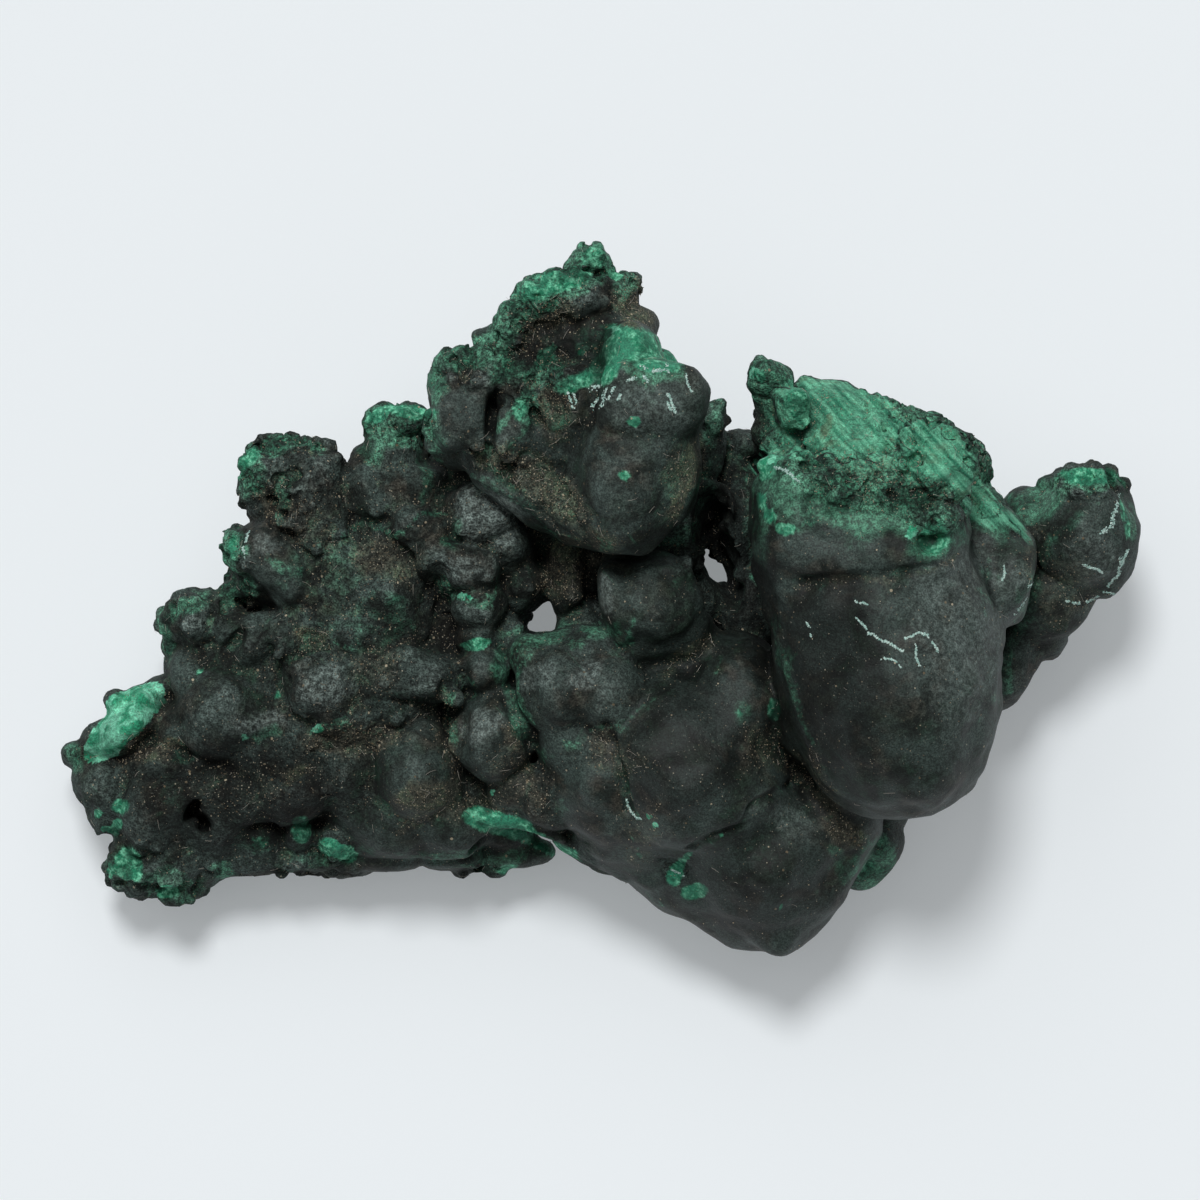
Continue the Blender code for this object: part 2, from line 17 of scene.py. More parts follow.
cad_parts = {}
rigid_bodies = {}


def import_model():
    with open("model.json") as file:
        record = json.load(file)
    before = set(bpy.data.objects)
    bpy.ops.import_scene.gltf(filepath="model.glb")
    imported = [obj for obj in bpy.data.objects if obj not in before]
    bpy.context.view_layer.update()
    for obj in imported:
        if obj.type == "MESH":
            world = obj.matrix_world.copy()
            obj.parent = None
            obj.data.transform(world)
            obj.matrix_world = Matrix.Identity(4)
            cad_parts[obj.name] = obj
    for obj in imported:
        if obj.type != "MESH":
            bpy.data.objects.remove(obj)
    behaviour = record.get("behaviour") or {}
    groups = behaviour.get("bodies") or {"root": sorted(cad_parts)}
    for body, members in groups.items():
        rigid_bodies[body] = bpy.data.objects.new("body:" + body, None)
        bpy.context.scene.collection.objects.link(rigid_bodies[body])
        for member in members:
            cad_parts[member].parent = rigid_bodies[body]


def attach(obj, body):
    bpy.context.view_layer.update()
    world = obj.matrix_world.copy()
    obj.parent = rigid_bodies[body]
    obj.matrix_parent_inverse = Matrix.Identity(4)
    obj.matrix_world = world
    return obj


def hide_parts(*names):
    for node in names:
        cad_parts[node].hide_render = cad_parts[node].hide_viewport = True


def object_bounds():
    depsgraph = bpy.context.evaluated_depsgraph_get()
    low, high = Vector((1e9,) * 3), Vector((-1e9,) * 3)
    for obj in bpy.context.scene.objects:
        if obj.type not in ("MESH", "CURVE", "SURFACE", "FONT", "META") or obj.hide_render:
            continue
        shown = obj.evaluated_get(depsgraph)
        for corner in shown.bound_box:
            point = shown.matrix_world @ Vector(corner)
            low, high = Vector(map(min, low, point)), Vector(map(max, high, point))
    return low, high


MM = 0.001
STONE_NODE = "malachite_specimen"
BODY_NAME = "root"
RANDOM = np.random.default_rng(20)

GRID_LOW = (-57.0, -39.0, -2.0)
GRID_HIGH = (57.0, 39.0, 48.0)
GRID_STEP = 0.33
ROUND = 2  # the blockiness of a plain ellipsoid
FAR = 6.0  # the distance held by cells that are near no lump
LUMP_REACH = 2.5  # how far round a lump its distances are worked out
LUMP_BLEND = 0.7
LUMP_BLEND_SATIN = 1.6
SATIN = 0.2  # masses less crusty than this are satin lobes
HOLLOW_BLEND = 0.6
GROWTH_BLEND = 0.35
SWAY = [(5.0, 0.7), (2.2, 0.35)]  # (size, reach) of the swings that make the lumps uneven
FULL_SWAY = 6.0  # a lump narrower than this sways less

# Small knobs and pits grown on the crusts, for each square millimetre of the spongiest ground.
KNOBS_PER_SQUARE_MM = 1.3
KNOB_RADIUS = (0.3, 0.85)
SPONGY_KNOBS = 0.9
SPARSE_KNOBS = 0.1
SPARSE_KNOBS_CRUST = 0.25  # ground less crusty than this has none
SPARSE_KNOBS_HEIGHTS = (7.0, 12.0)  # none under the first height, all over the second
PITS_PER_SQUARE_MM = 0.16
PIT_RADIUS = (0.4, 0.8)
PIT_RISE = 0.4  # of its radius, by which a pit's middle is over the skin

STONE_TRIANGLES = 196000
SPARE_WEIGHTS = [(-2.0, 0.5), (-0.3, 0.75), (0.2, 1.0)]  # (least downward slope, how freely faces merge)
SPARE_FACTOR = 0.01

# The skin's last relief. Each pair is (size, height).
SWELLING = [(4.5, 0.36), (1.7, 0.17), (0.75, 0.1)]  # undulations on the roughest ground
CRUMBS = [(3.2, 0.4), (1.5, 0.24), (0.8, 0.14)]  # the rounded crumbs that crusts are made of
SATIN_SHARE = 0.16  # how much of the undulations is left on a satin lobe
FLAT_FOOT = 1.5  # relief fades out below this height, so the facets that the stone rests on stay flat
FOOT_CRUST = 0.6  # the lowest parts are at least this crusty
FOOT_HEIGHTS = (3.0, 10.0)  # (full, none)
FIBRE_TURN = -48.0  # the way the broken top's fibres run
FIBRE_LENGTH = 7.0
FIBRE_WIDTH = 0.6
FIBRE_HEIGHT = 0.26
FIBRE_SQUEEZE = (0.07, 1.0, 0.07)  # across the fibres as it is, and drawn out along them

# Where markings lie.
WANDER = [(3.2, 1.1), (1.1, 0.45)]  # (size, reach) of the noise that makes the edges of patches uneven
SLIGHT_WANDER = 0.35  # the share of it that the sharper patches have
PATCH_EDGE = (0.6, 1.4)  # (full, none), in half widths
LINE_EDGE = (0.4, 1.7)
MARKED_DEPTHS = (2.0, 7.0)  # (full, none): how far under the skin's top the upper side's markings reach
MARKED_SLOPES = (-0.15, 0.3)  # (none, full): how far up the skin has to face to take them
SETTLED_SLOPES = (0.2, 0.75)  # the same for dust that settles
SANDY_SLOPES = (-0.1, 0.5)
HOLLOW_REACH = 2.6
CREASE_REACH = 1.0
HOLLOW_GAIN = 2.5
PATCHY = [(5.5, 1.0), (2.0, 0.5)]  # (size, share) of the noise that breaks up what grows unseen

# The stone's finish. Each noise is (size, detail, distortion).
BROAD = (11.0, 2.0, 0.0)
COARSE = (4.2, 3.0, 0.5)
MIDDLE = (1.5, 3.0, 0.4)
FINE = (0.5, 3.0, 0.0)
FINEST = (0.17, 1.0, 0.0)
GRIT_SIZE = 0.6  # the cracked grains that crusts are made of
BUMP_STRENGTH = 0.9
BUMP_HEIGHT = 0.42
STONE_SPECULAR = 0.3

GRAIN_COUNT = 6000
GRAIN_SIZE = (0.035, 0.085)
GRAIN_CHANCE = 0.004  # on clean ground, where dust has a chance of up to 1
LINT_COUNT = 750
LINT_LENGTH = (0.25, 1.2)
LINT_RADIUS = 0.015
LINT_RUNS = 4
LINT_SIDES = 3
LINT_BEND = 0.5
LINT_LIFT = (0.1, 0.5)
LINT_CHANCE = 0.02
CHALK_SPACING = 0.025
CHALK_SIZE = (0.08, 0.17)
CHALK_FLATNESS = 0.6
CHALK_DRIFT = 0.2
CHALK_GAP_RATE = 2.2  # how many swings between line and gap there are to a millimetre
CHALK_GAPS = (-0.4, -0.1)  # (none, full): the noise under which a line breaks off

CAMERA_HEIGHT = 1500.0
PICTURE_WIDTH = 120.0  # what the picture spans at the middle height of the stone
MIDDLE_HEIGHT = 22.0
SENSOR_WIDTH = 36.0
CAMERA_SIGHT = 10.0  # metres

FLOOR_WIDTH = 1600.0
FLOOR_COLOUR = (0.70, 0.735, 0.757, 1.0)
FLOOR_GLOW = 0.345  # the paper glows a little, a painted light that keeps shadows on it pale
LAMPS = [  # (name, where it comes from, how widely it spreads in degrees, strength)
    ("window", (-0.08, 0.42, 1.0), 13.0, 1.72),
    ("ceiling", (-0.2, 0.45, 1.0), 70.0, 0.75),
]
FILL_COLOUR = (1.0, 1.0, 1.0, 1.0)
FILL_STRENGTH = 0.1


def colour(red, green, blue):
    """A colour as it looks on screen, 0 to 255, turned into the light that it stands for."""
    shares = (red / 255, green / 255, blue / 255)
    return tuple(((s + 0.055) / 1.055) ** 2.4 if s > 0.04 else s / 12.92 for s in shares) + (1.0,)


NIGHT = colour(28, 35, 31)
SLATE = colour(52, 64, 60)
UMBER = colour(55, 54, 47)
PINE = colour(34, 52, 42)
# ASH: the grey of the film, and of the painted sheen on crests
ASH = colour(104, 116, 112)
SILT = colour(70, 70, 60)
OLIVE = colour(78, 88, 68)
BOTTLE = colour(28, 60, 48)
FIR = colour(42, 96, 74)
SAGE = colour(78, 130, 106)
TEAL = colour(50, 126, 98)
EMERALD = colour(44, 134, 100)
VERDIGRIS = colour(112, 188, 154)
MINT_LIGHT = colour(120, 200, 168)
CHALK = colour(160, 200, 190)
CHALK_LIGHT = colour(210, 234, 226)
SAND_DARK = colour(92, 78, 60)
SAND_LIGHT = colour(182, 168, 142)
LINT_DARK = colour(150, 140, 124)
LINT_LIGHT = colour(222, 218, 208)

# Specks too fine for grains: (spacing, share of places with one on clean stone, in dust, how plain it is,
# darker, lighter).
SPECKS = [
    (0.14, 0.10, 0.22, 0.5, colour(70, 74, 70), colour(128, 130, 120)),
    (0.18, 0.02, 0.34, 0.8, colour(98, 90, 74), colour(178, 170, 150)),
    (0.36, 0.008, 0.08, 0.85, colour(104, 92, 72), colour(190, 178, 154)),
]

# Rounded lumps: (x, y, z, half length, half width, half height), then a turn in degrees where it isn't 0,
# then how blocky the lump is where it isn't an ellipsoid. BODY is the bulk, down to what the stone rests on.

BODY = [
    (-23.5, -6.5, 10.5, 12.5, 12.5, 13.5), (-31, -13, 9, 12, 9, 12), (-36.5, -7.5, 9.5, 7, 7, 9.5),
    (-41.5, -19.5, 9, 9.5, 8, 9.6), (-36, -23, 7, 9, 5, 7.5), (-19, -19, 9.5, 12, 6.5, 10.8),
    (-14, 6.5, 13, 8.5, 9, 11.5), (-28.5, 4.5, 11.5, 5.5, 7.5, 10.5), (-11.5, -7.5, 11, 6, 9, 11),
    (-8, -15, 9, 5, 7.5, 9), (10, -18, 12, 12.5, 12, 13, -25), (28, -6, 10, 9.5, 12, 11),
    (26.5, 10, 10, 8.5, 7.5, 11), (-1.5, 17, 11, 7.5, 8, 12), (-9, 11, 16, 8, 5.5, 9, -30),
    (0.5, -8, 13, 7, 6, 11.5),
]

NORTH_WEST_KNOB = [
    (-30, 11, 19.5, 4.1, 4.2, 6.4, -6, 3), (-31.8, 12.4, 18.5, 3, 3, 6, -6, 3),
    (-28.2, 7.7, 20.2, 2.8, 2.3, 5.2, 10, 4), (-34.4, 11.5, 20, 1.1, 1.9, 3), (-34, 13.6, 20.5, 1.3, 1.4, 3),
    (-32.5, 14.5, 21, 1.6, 1.2, 3), (-30.7, 14.7, 21, 1.6, 1.1, 3), (-29, 14.3, 21, 1.5, 1.1, 3),
    (-34.4, 9.7, 19, 1, 1.2, 2.5), (-33.4, 9.4, 19.5, 1.5, 1.3, 3.5), (-31.5, 8.7, 18.5, 1.5, 1.2, 4),
]

WEST_DOME = [
    (-33, 4.2, 18.8, 4.2, 2.9, 6.6, -55, 3), (-30.6, 1.6, 19.4, 2.8, 3.2, 5.6, -30),
    (-36.4, 5.2, 15.5, 1.4, 1.5, 3.5), (-34.8, 3.6, 14.5, 1.6, 2.4, 5), (-33.2, 1.2, 15.5, 2.6, 1.9, 5),
    (-29.8, 3.6, 19.4, 2.2, 2.4, 4.6), (-35.9, 1.9, 13.5, 1, 1.1, 3.5),
]

WEST_SHOULDER = [
    (-40.5, -2.3, 14, 2.9, 2.7, 6.2), (-43, -2.4, 12, 1.1, 1.6, 4), (-43.3, -4.8, 11.5, 0.9, 1.1, 3),
    (-38.6, 0, 12.5, 1.1, 0.9, 4), (-36.6, 0.6, 13.5, 1.7, 1.4, 4.5), (-37.2, -2.6, 15.6, 3, 2.2, 4.2, -20),
    (-37.6, -11.2, 14.6, 5.8, 5.4, 8.6, 15), (-41.4, -8, 13.5, 2.6, 3.2, 6),
    (-36.6, -12.9, 17.6, 4.2, 2.2, 4.6, 8), (-34.4, -4, 16.4, 3.4, 2.8, 5), (-42.8, -12.8, 14, 2.6, 2.6, 4.5),
    (-44, -9, 12, 1.9, 1.3, 4),
]

WEST_TIP = [
    (-47.5, -12.8, 14, 4, 2.2, 5.5, 38), (-46, -9.8, 13, 2, 1.2, 4.5), (-48.8, -10.4, 13, 1.1, 1.2, 4),
    (-52.6, -15.5, 10, 1.7, 1.4, 3.6, 20), (-51.4, -18.2, 10.5, 1.9, 2.6, 4.2),
    (-50.7, -14.3, 12, 1.8, 1.8, 4), (-49.2, -18.7, 12, 3.2, 3.2, 5.8), (-49.9, -21.5, 10, 2.2, 2.2, 4.6),
    (-44.8, -21, 13.5, 3.6, 4.4, 6), (-46.9, -26.3, 9.5, 3.1, 3.1, 5), (-43, -26, 10.5, 3.6, 3.2, 5.4),
    (-42.4, -29, 8.5, 2.6, 1.9, 4.2), (-45.4, -28.4, 8, 1.8, 1.3, 3.4), (-39.6, -27.6, 8.5, 1.6, 1.6, 3.8),
    (-37.9, -26.9, 8.5, 1.4, 1.4, 3.6), (-43.8, -16.6, 14.5, 2.6, 2.2, 4.5),
]

SOUTH_WEST_SLOPE = [
    (-36.2, -19.6, 14.6, 4.4, 2.8, 4.2), (-30.5, -19, 16, 4.4, 3.2, 4.6), (-35, -25.8, 9, 3.6, 1.8, 4.6),
    (-34.4, -23.8, 12, 2, 2, 3.6), (-30.3, -23.4, 13, 1.8, 1.8, 3.8), (-30.5, -25.8, 9, 3.4, 1.5, 4.2, 8),
    (-38.6, -23.3, 12, 1.8, 2.2, 4.5), (-33.2, -15, 17, 3.4, 2.4, 4), (-26.5, -24.4, 12, 2.4, 1.9, 4.5),
]

PLATEAU = [
    (-23.6, 0.6, 19.8, 7.2, 7, 4.6, -10, 3), (-27.8, -8.7, 21, 3.5, 3.1, 4.6, -8, 3),
    (-25, -11.4, 20.2, 4, 2, 3.4, 10), (-30.4, -3.8, 18.6, 3.2, 3, 4.2), (-26.6, 4, 20.9, 2.6, 3.4, 3.9),
    (-24.9, -3.4, 21.9, 3.2, 2.2, 3, 20), (-20.8, 0.5, 22, 2.6, 2.4, 3), (-28.4, 0.4, 20.6, 2.2, 2.2, 3.6),
    (-18, -7.4, 21.4, 4.2, 2.9, 4.6, -12, 3), (-22, -7.4, 20.8, 3, 3.2, 4.6),
    (-20.8, -11, 19.4, 3.6, 1.8, 4.2, 8), (-25.5, -17, 16.6, 3.6, 3.2, 4.4),
    (-29.4, -13.8, 17.8, 2.8, 2.4, 3.6),
]

NORTH_RIDGE = [
    (-20.4, 15, 19.5, 3.5, 3.9, 5.5), (-19, 18, 20, 2.5, 1.4, 4), (-21.3, 17.1, 19.5, 1.6, 1.5, 4),
    (-24, 14.3, 18.5, 1.2, 1.3, 3.5), (-23.4, 11, 19.6, 3.4, 3.6, 5), (-18, 11.2, 20.6, 3.2, 3, 4.5),
    (-18, 7.2, 22.4, 3.1, 1.8, 4.2, -10, 4), (-20.2, 11, 20.4, 5, 3.2, 4.4, -8, 4),
    (-16.2, 5.6, 22.4, 1.6, 2.2, 3.8), (-11.8, 8.8, 22.2, 3.2, 3.2, 5.2, 30, 3),
    (-14.2, 3.6, 22.8, 4, 2.1, 4.6, -14, 4), (-9.6, 5.4, 20, 3, 3.2, 5.4), (-12.3, -0.6, 22.2, 2.8, 2.8, 4.2),
    (-12.4, -3.8, 20.8, 2.4, 1.8, 3.8), (-21.4, 6, 21, 2.4, 2.4, 3.6), (-7.8, 1.6, 17.5, 2.4, 3, 6),
    (-3.4, 3.4, 17, 2.6, 3.6, 6), (-9.4, -3.8, 17.5, 2.6, 3.2, 5), (-3.2, 0.6, 17, 2, 2.2, 6),
    (-6.4, 1.8, 15.5, 2.4, 1.8, 6), (-3.6, -3.4, 16, 2.8, 1.7, 6), (-1, -2.4, 15, 3, 2.6, 6),
]

SOUTH_KNOBS = [
    (-11.8, -7, 21.5, 2.6, 2.4, 4.5), (-10.6, -13.6, 21, 4, 4.6, 6), (-8.4, -18.4, 16.5, 3.4, 3.4, 6),
    (-18.3, -17, 15.6, 5, 6, 9.6), (-20.8, -21.8, 12, 6.4, 4.4, 8), (-15.2, -22.4, 13, 5, 3.6, 7.2),
    (-27.4, -25.8, 8.5, 2.6, 1.5, 3.8, 4, 3), (-22, -26, 8.8, 3.8, 1.5, 3.8, -2, 3),
    (-15, -26, 9, 3.2, 1.4, 3.6, 2, 3), (-9.2, -25.7, 8, 2.6, 1.4, 3.4, 2, 3),
    (-6.2, -25.1, 7.5, 1.7, 1.4, 3.2), (-9.5, -23.5, 9, 3.6, 2.2, 5),
]

SOUTH_LEDGE = [
    (-4.4, -19.4, 17, 5, 4.2, 6.5), (-10, -21.8, 18.2, 2.8, 1, 1.6, -8), (-6, -23.2, 17, 2.8, 1, 1.9, -22),
    (-2.5, -24.9, 14, 2.6, 1.1, 2.6, -28), (0.4, -24.2, 12, 3, 3, 7),
]

MIDDLE_BLOCK = [
    (-3.6, -9, 24, 5.2, 5.6, 6.5), (0.2, -9.6, 25.5, 3.8, 4.8, 5.5), (-2, -14.4, 22, 4.6, 3.4, 6.5),
    (-6.9, -5.8, 23, 2.3, 2.2, 4.5), (-1.4, -5, 24.5, 3.4, 2.2, 4.5),
]

MIDDLE_KNOB = [
    (5.2, -0.2, 26.5, 5, 5, 7), (1.6, 0.2, 27, 2, 4, 4.6, 15), (4.5, -4.6, 22.5, 4, 2.4, 6),
    (8.2, -3.4, 21, 3.4, 3.4, 7), (4, 3.4, 20, 3.6, 2.4, 6),
]

SHIELD = [
    (8.6, -16.4, 18.5, 11.6, 9.4, 15, -32), (13.6, -10.8, 20.6, 5.6, 7.4, 10.5),
    (0.8, -17.6, 18.6, 5.6, 7, 10, 12), (16.4, -24.6, 15.5, 9.4, 8.6, 11.5, -40),
    (17, -31.4, 12.5, 4.8, 3.6, 7.2, -20, 3), (23.7, -27.6, 13, 5.6, 1.7, 8, 58, 3),
    (20, -32.6, 10.5, 1.7, 1.6, 6, 20, 3), (24, -22.2, 16, 4.6, 5, 8.5), (3.6, -23.6, 14, 5.6, 4.8, 8.5, -30),
    (8.4, -27.7, 12.5, 6.6, 4.2, 7.5, -28), (13, -30.8, 11.5, 5, 3.4, 6, -20), (13, -25.5, 6.5, 8, 6, 7, -25),
]

EAST_LOBE = [
    (28.8, -6.9, 28.5, 11.3, 15.3, 16, 9), (33, -9, 26, 5.8, 9.8, 12), (33.6, -1, 30.5, 6.4, 7, 10.5),
    (22.4, -2.6, 31, 5.4, 8, 10.4), (27.5, -9.5, 16, 10.4, 11.2, 10.5), (34.5, -6, 14, 5.2, 7.5, 7.5),
    (23, -17, 13, 6, 5.5, 8), (32.5, -14.5, 13, 5, 4.8, 7), (27.2, -0.8, 33, 10, 7, 10.8),
    (25.6, 4.6, 35.8, 10, 3.3, 8.2, -2, 3), (18.9, 8.6, 34, 3.8, 6.6, 9.6), (19.2, 2.2, 31, 3.3, 5.2, 9.4, 6),
    (25.6, 9.6, 33, 10, 5.8, 10), (32.4, 7.4, 33, 4, 4.4, 10.2), (20.8, -11.5, 21, 3.4, 5.6, 8.5, 22),
    (25, -18.8, 17.5, 4.6, 3.8, 8.5, 20), (20, 7, 21, 4.8, 6.4, 9), (40.6, 2.6, 27, 3, 5, 7),
    (38.4, 7.4, 27.5, 2.6, 2.6, 5), (38.4, 4, 24, 3, 4.5, 9), (37.5, 3, 14, 4, 5.6, 7),
]

EAST_LOBE_BROKEN_TOP = [
    (27, 10.8, 24, 11.4, 8.2, 13.5, -25), (23.2, 18, 25, 5, 3.6, 6.5, -22),
    (31.2, 15, 24, 5.4, 3.6, 6.5, -22), (35.4, 13.4, 23.5, 3.2, 2.6, 6.4, -40), (38.3, 9, 24, 2, 3.2, 8, 30),
    (40.9, 6.8, 25, 3.4, 1.1, 6, -52), (42.4, 5.2, 27, 0.9, 1, 1.8), (26, 13, 13, 8, 5.4, 8, -15),
    (34, 9.6, 12, 5, 5, 7), (16.9, 22.1, 28, 2.3, 2, 3.2), (19, 19.1, 31, 1.7, 1.9, 4.2, 0, 3),
    (17, 19.6, 25, 1.7, 2.4, 4), (17.2, 16.8, 24, 2, 2.6, 5), (18.6, 15.6, 26, 2.4, 2.6, 6),
]

BRIDGE = [
    (8, 8, 18, 5.6, 5, 7.5), (13.4, 8.6, 9.5, 4, 7.4, 8.4), (14.5, -1, 9, 3.4, 6, 8),
    (9.5, 1, 9, 3.4, 4.6, 7.5), (6.5, 6.5, 10, 4, 5.5, 7.5), (11.4, 18.1, 20, 1.3, 2, 2.6),
    (10.9, 15.8, 17, 1.8, 2, 3.6), (9.4, 14.8, 17, 2.6, 3.4, 5), (8, 15.5, 10, 4.4, 5, 7),
    (-0.4, 3.2, 15, 2.6, 3.2, 6), (14.2, 15.4, 12, 2.4, 1.8, 5),
]

EAST_ARM = [
    (48.6, 7, 20.5, 5, 6, 6.5), (49.8, 5.4, 18.5, 4.3, 5.1, 6), (48.3, 10.4, 19.5, 3.6, 2.3, 4.5),
    (50.3, 7.4, 20, 3.4, 4.2, 5.5), (45.5, 4.8, 13, 4.4, 5.4, 6.5), (43.3, 7.2, 16.5, 3.8, 3.8, 6),
    (45, 0.2, 15.5, 5.2, 4.2, 6.5, 45), (45, -3.4, 12.5, 2.2, 2.5, 4.5), (42, -1, 8.5, 4, 5.4, 6.5),
    (40.8, -6.4, 12.5, 3.4, 5.8, 6, -30), (37.5, -5, 6.5, 4.4, 6.4, 6), (48.9, 12.5, 22.5, 2.3, 0.9, 2),
    (28.5, -24.6, 10, 2.2, 2.8, 4), (26.8, -27, 8.5, 3, 2, 3.6, 20), (29.4, -20.8, 10, 2.2, 2.4, 5),
]

NORTH_LOBE = [
    (3.2, 13.4, 34, 6.6, 8.6, 8.4), (2.4, 12.4, 37.2, 4.6, 7.2, 7), (2, 9, 33, 4.6, 4.4, 7.5),
    (5, 19.7, 38.2, 5.7, 4.3, 6.4, -10, 3), (3, 23.9, 36, 3.6, 3.6, 6.2), (3.1, 25.8, 39, 1.6, 1.6, 3),
    (2, 16.5, 25, 6.6, 8, 9.5), (-5.8, 12, 28, 9.6, 4.6, 6.6, -30), (-1, 10, 30, 5.4, 5, 7, -25),
    (-13.8, 18.6, 33.4, 3.1, 3.7, 4.4, 8, 4), (-12.6, 18.4, 27.5, 3.2, 3.6, 4.5),
    (-14, 14.8, 26.5, 2.6, 2.4, 4), (-8.6, 16.9, 34.2, 2.4, 2.5, 3.8, 15, 3),
    (-15.7, 21, 33.5, 1.8, 1.8, 2.5), (-13.2, 23.8, 33.5, 3.4, 1.5, 2.5, 15),
    (-11.5, 22.4, 34.5, 3, 1.9, 2.5, 10), (-11.3, 26, 31.5, 1.2, 1.3, 1.8), (-11.6, 21.6, 29, 3.6, 3.4, 4.8),
    (-5, 30.2, 34, 4.2, 2.3, 4, 22), (-1.5, 29.9, 34, 3.4, 2.6, 3.8), (-8, 27, 33.6, 2.2, 2.8, 4.2, -10),
    (-1, 26.6, 33.6, 2, 2.4, 3.8), (-3.6, 25, 29.5, 6, 5.2, 7.5), (1, 25.6, 30.5, 4, 4.6, 7),
    (-0.9, 33.5, 32, 2, 1.6, 2.6), (2.5, 31, 31.4, 1.2, 1.3, 2.6), (1.4, 29.6, 31, 1.8, 1.8, 3.2),
    (4, 27.2, 31, 1.9, 2, 4.2), (-7.6, 21.5, 31.5, 4.4, 4, 6), (-2, 20, 34, 4.4, 4.4, 6),
    (-4.8, 16.2, 32.5, 3.2, 3, 4.5), (-3, 21.5, 19.5, 6.5, 6.5, 8), (-9, 18, 21.5, 5.2, 4.6, 6.5),
    (3.6, 20.5, 16, 5.2, 5.2, 7.5),
]

# Lumps that round off the saddles between the masses.
SADDLES = [
    (4.4, 15.2, 37.6, 5.2, 4.4, 6), (33.4, 13.4, 41, 4.4, 3, 3, -35), (-23, -23.6, 7, 6, 3.6, 6),
]

# How crusty each mass of lumps is: 0 is a satin lobe, 1 is a spongy crust.
CRUSTINESS = [
    (BODY, 0.4), (NORTH_WEST_KNOB, 0.6), (WEST_DOME, 0.25), (WEST_SHOULDER, 0.32), (WEST_TIP, 0.35),
    (SOUTH_WEST_SLOPE, 0.45), (PLATEAU, 0.45), (NORTH_RIDGE, 0.35), (SOUTH_KNOBS, 0.22), (SOUTH_LEDGE, 0.3),
    (MIDDLE_BLOCK, 0.25), (MIDDLE_KNOB, 0.18), (SHIELD, 0.12), (EAST_LOBE, 0.08),
    (EAST_LOBE_BROKEN_TOP, 0.6), (BRIDGE, 0.4), (EAST_ARM, 0.22), (NORTH_LOBE, 0.22), (SADDLES, 0.22),
]

# Ellipsoids cut out of the skin: pits, clefts, the recess under the ledge and the two holes through it.
HOLLOWS = [
    (-41, -21.2, 20, 0.9, 1.6, 8, -30), (-40, -22.4, 20, 1, 1.3, 9, 20), (-31, 11.8, 26.5, 1.5, 1, 3.2, 20),
    (-32.6, 9.6, 25, 1.3, 1.5, 3.4, -30), (-4.8, 26.6, 40.4, 1.5, 2.3, 5, 20),
    (-2, 23.6, 42.6, 2.4, 1, 4, 10), (-10.8, 18.4, 39, 0.7, 2.8, 6, -4), (25, 10.2, 57, 11, 6.2, 14, -14),
    (32.5, 6, 43.6, 1.6, 1.5, 2.6), (12.2, 4, 30, 2.6, 8.6, 20, 12), (-6, -2.5, 12, 1.5, 0.6, 26, 4),
    (-5, -1.6, 12, 0.6, 1.5, 26, 8), (10.8, 3.9, 6, 0.8, 2.1, 20, 20), (12.1, 2.4, 6, 0.8, 1.4, 20, 10),
    (-7, -26, 15.6, 7, 2.4, 3, -18), (-16.8, 0.4, 26.8, 1.8, 3.4, 5, -20),
    (-26, 8.8, 27.5, 1.2, 3.6, 3.2, -22), (-38, -16.8, 22, 5, 1.3, 3, -10),
    (-31, -15.6, 23.6, 1.1, 5, 2.8, 25), (-24, -15.2, 24.2, 4.6, 1, 2.6, 14), (-13.8, -11, 26, 1.1, 5, 3.6),
    (-32.2, -8, 24.6, 1, 4.8, 5.4, 8), (-36.8, -4.6, 21.4, 1, 2.6, 3.4, -40),
]

# Patches on the upper side: (x, y, half length, half width, strength from 0 to 1), then a turn where it
# isn't 0.
SPONGY = [
    (-5.6, 11.2, 5.2, 2, 0.5, -36), (-10.4, 14.2, 3, 1.4, 0.5, -30), (-19.8, 17.6, 3.6, 2.2, 1, -10),
    (-34.6, 13.5, 1.4, 3.6, 0.9), (-31.2, 15.2, 3.4, 1.2, 0.9), (-31, 10.2, 2.2, 3, 0.7),
    (-4.3, 30.6, 5.2, 2.6, 0.8, 18), (-8.4, 27, 2.2, 3.6, 0.8), (-0.7, 33.4, 2.2, 2, 0.5),
    (-12, 23.6, 4.6, 2.4, 0.8, 15), (-6, 22, 4.4, 4, 0.7), (2.2, 31, 2.4, 2.4, 0.6),
    (-36.4, 4.8, 1.6, 2.6, 0.6), (-36.2, 0.8, 2, 1.8, 0.6), (-40.6, -1.2, 3.4, 2.2, 0.5),
    (31.5, 18.2, 4.6, 1.6, 0.8, -25), (37, 14.5, 3, 2.2, 0.9, -40), (29.6, 16.2, 1.6, 4.6, 0.8, 35),
    (26, 12, 8, 3, 0.8, -12), (33, 9, 3.4, 2.6, 0.8), (-46.6, -27, 3.6, 2.8, 0.5), (-43, -29, 2.6, 1.4, 0.5),
    (48.6, 11.6, 3.4, 1.6, 0.7), (-28, -27, 4, 1.2, 0.35), (-12, -27.4, 2.4, 1, 0.4, 5),
    (10, 4.6, 4, 1, 0.4, 35),
]

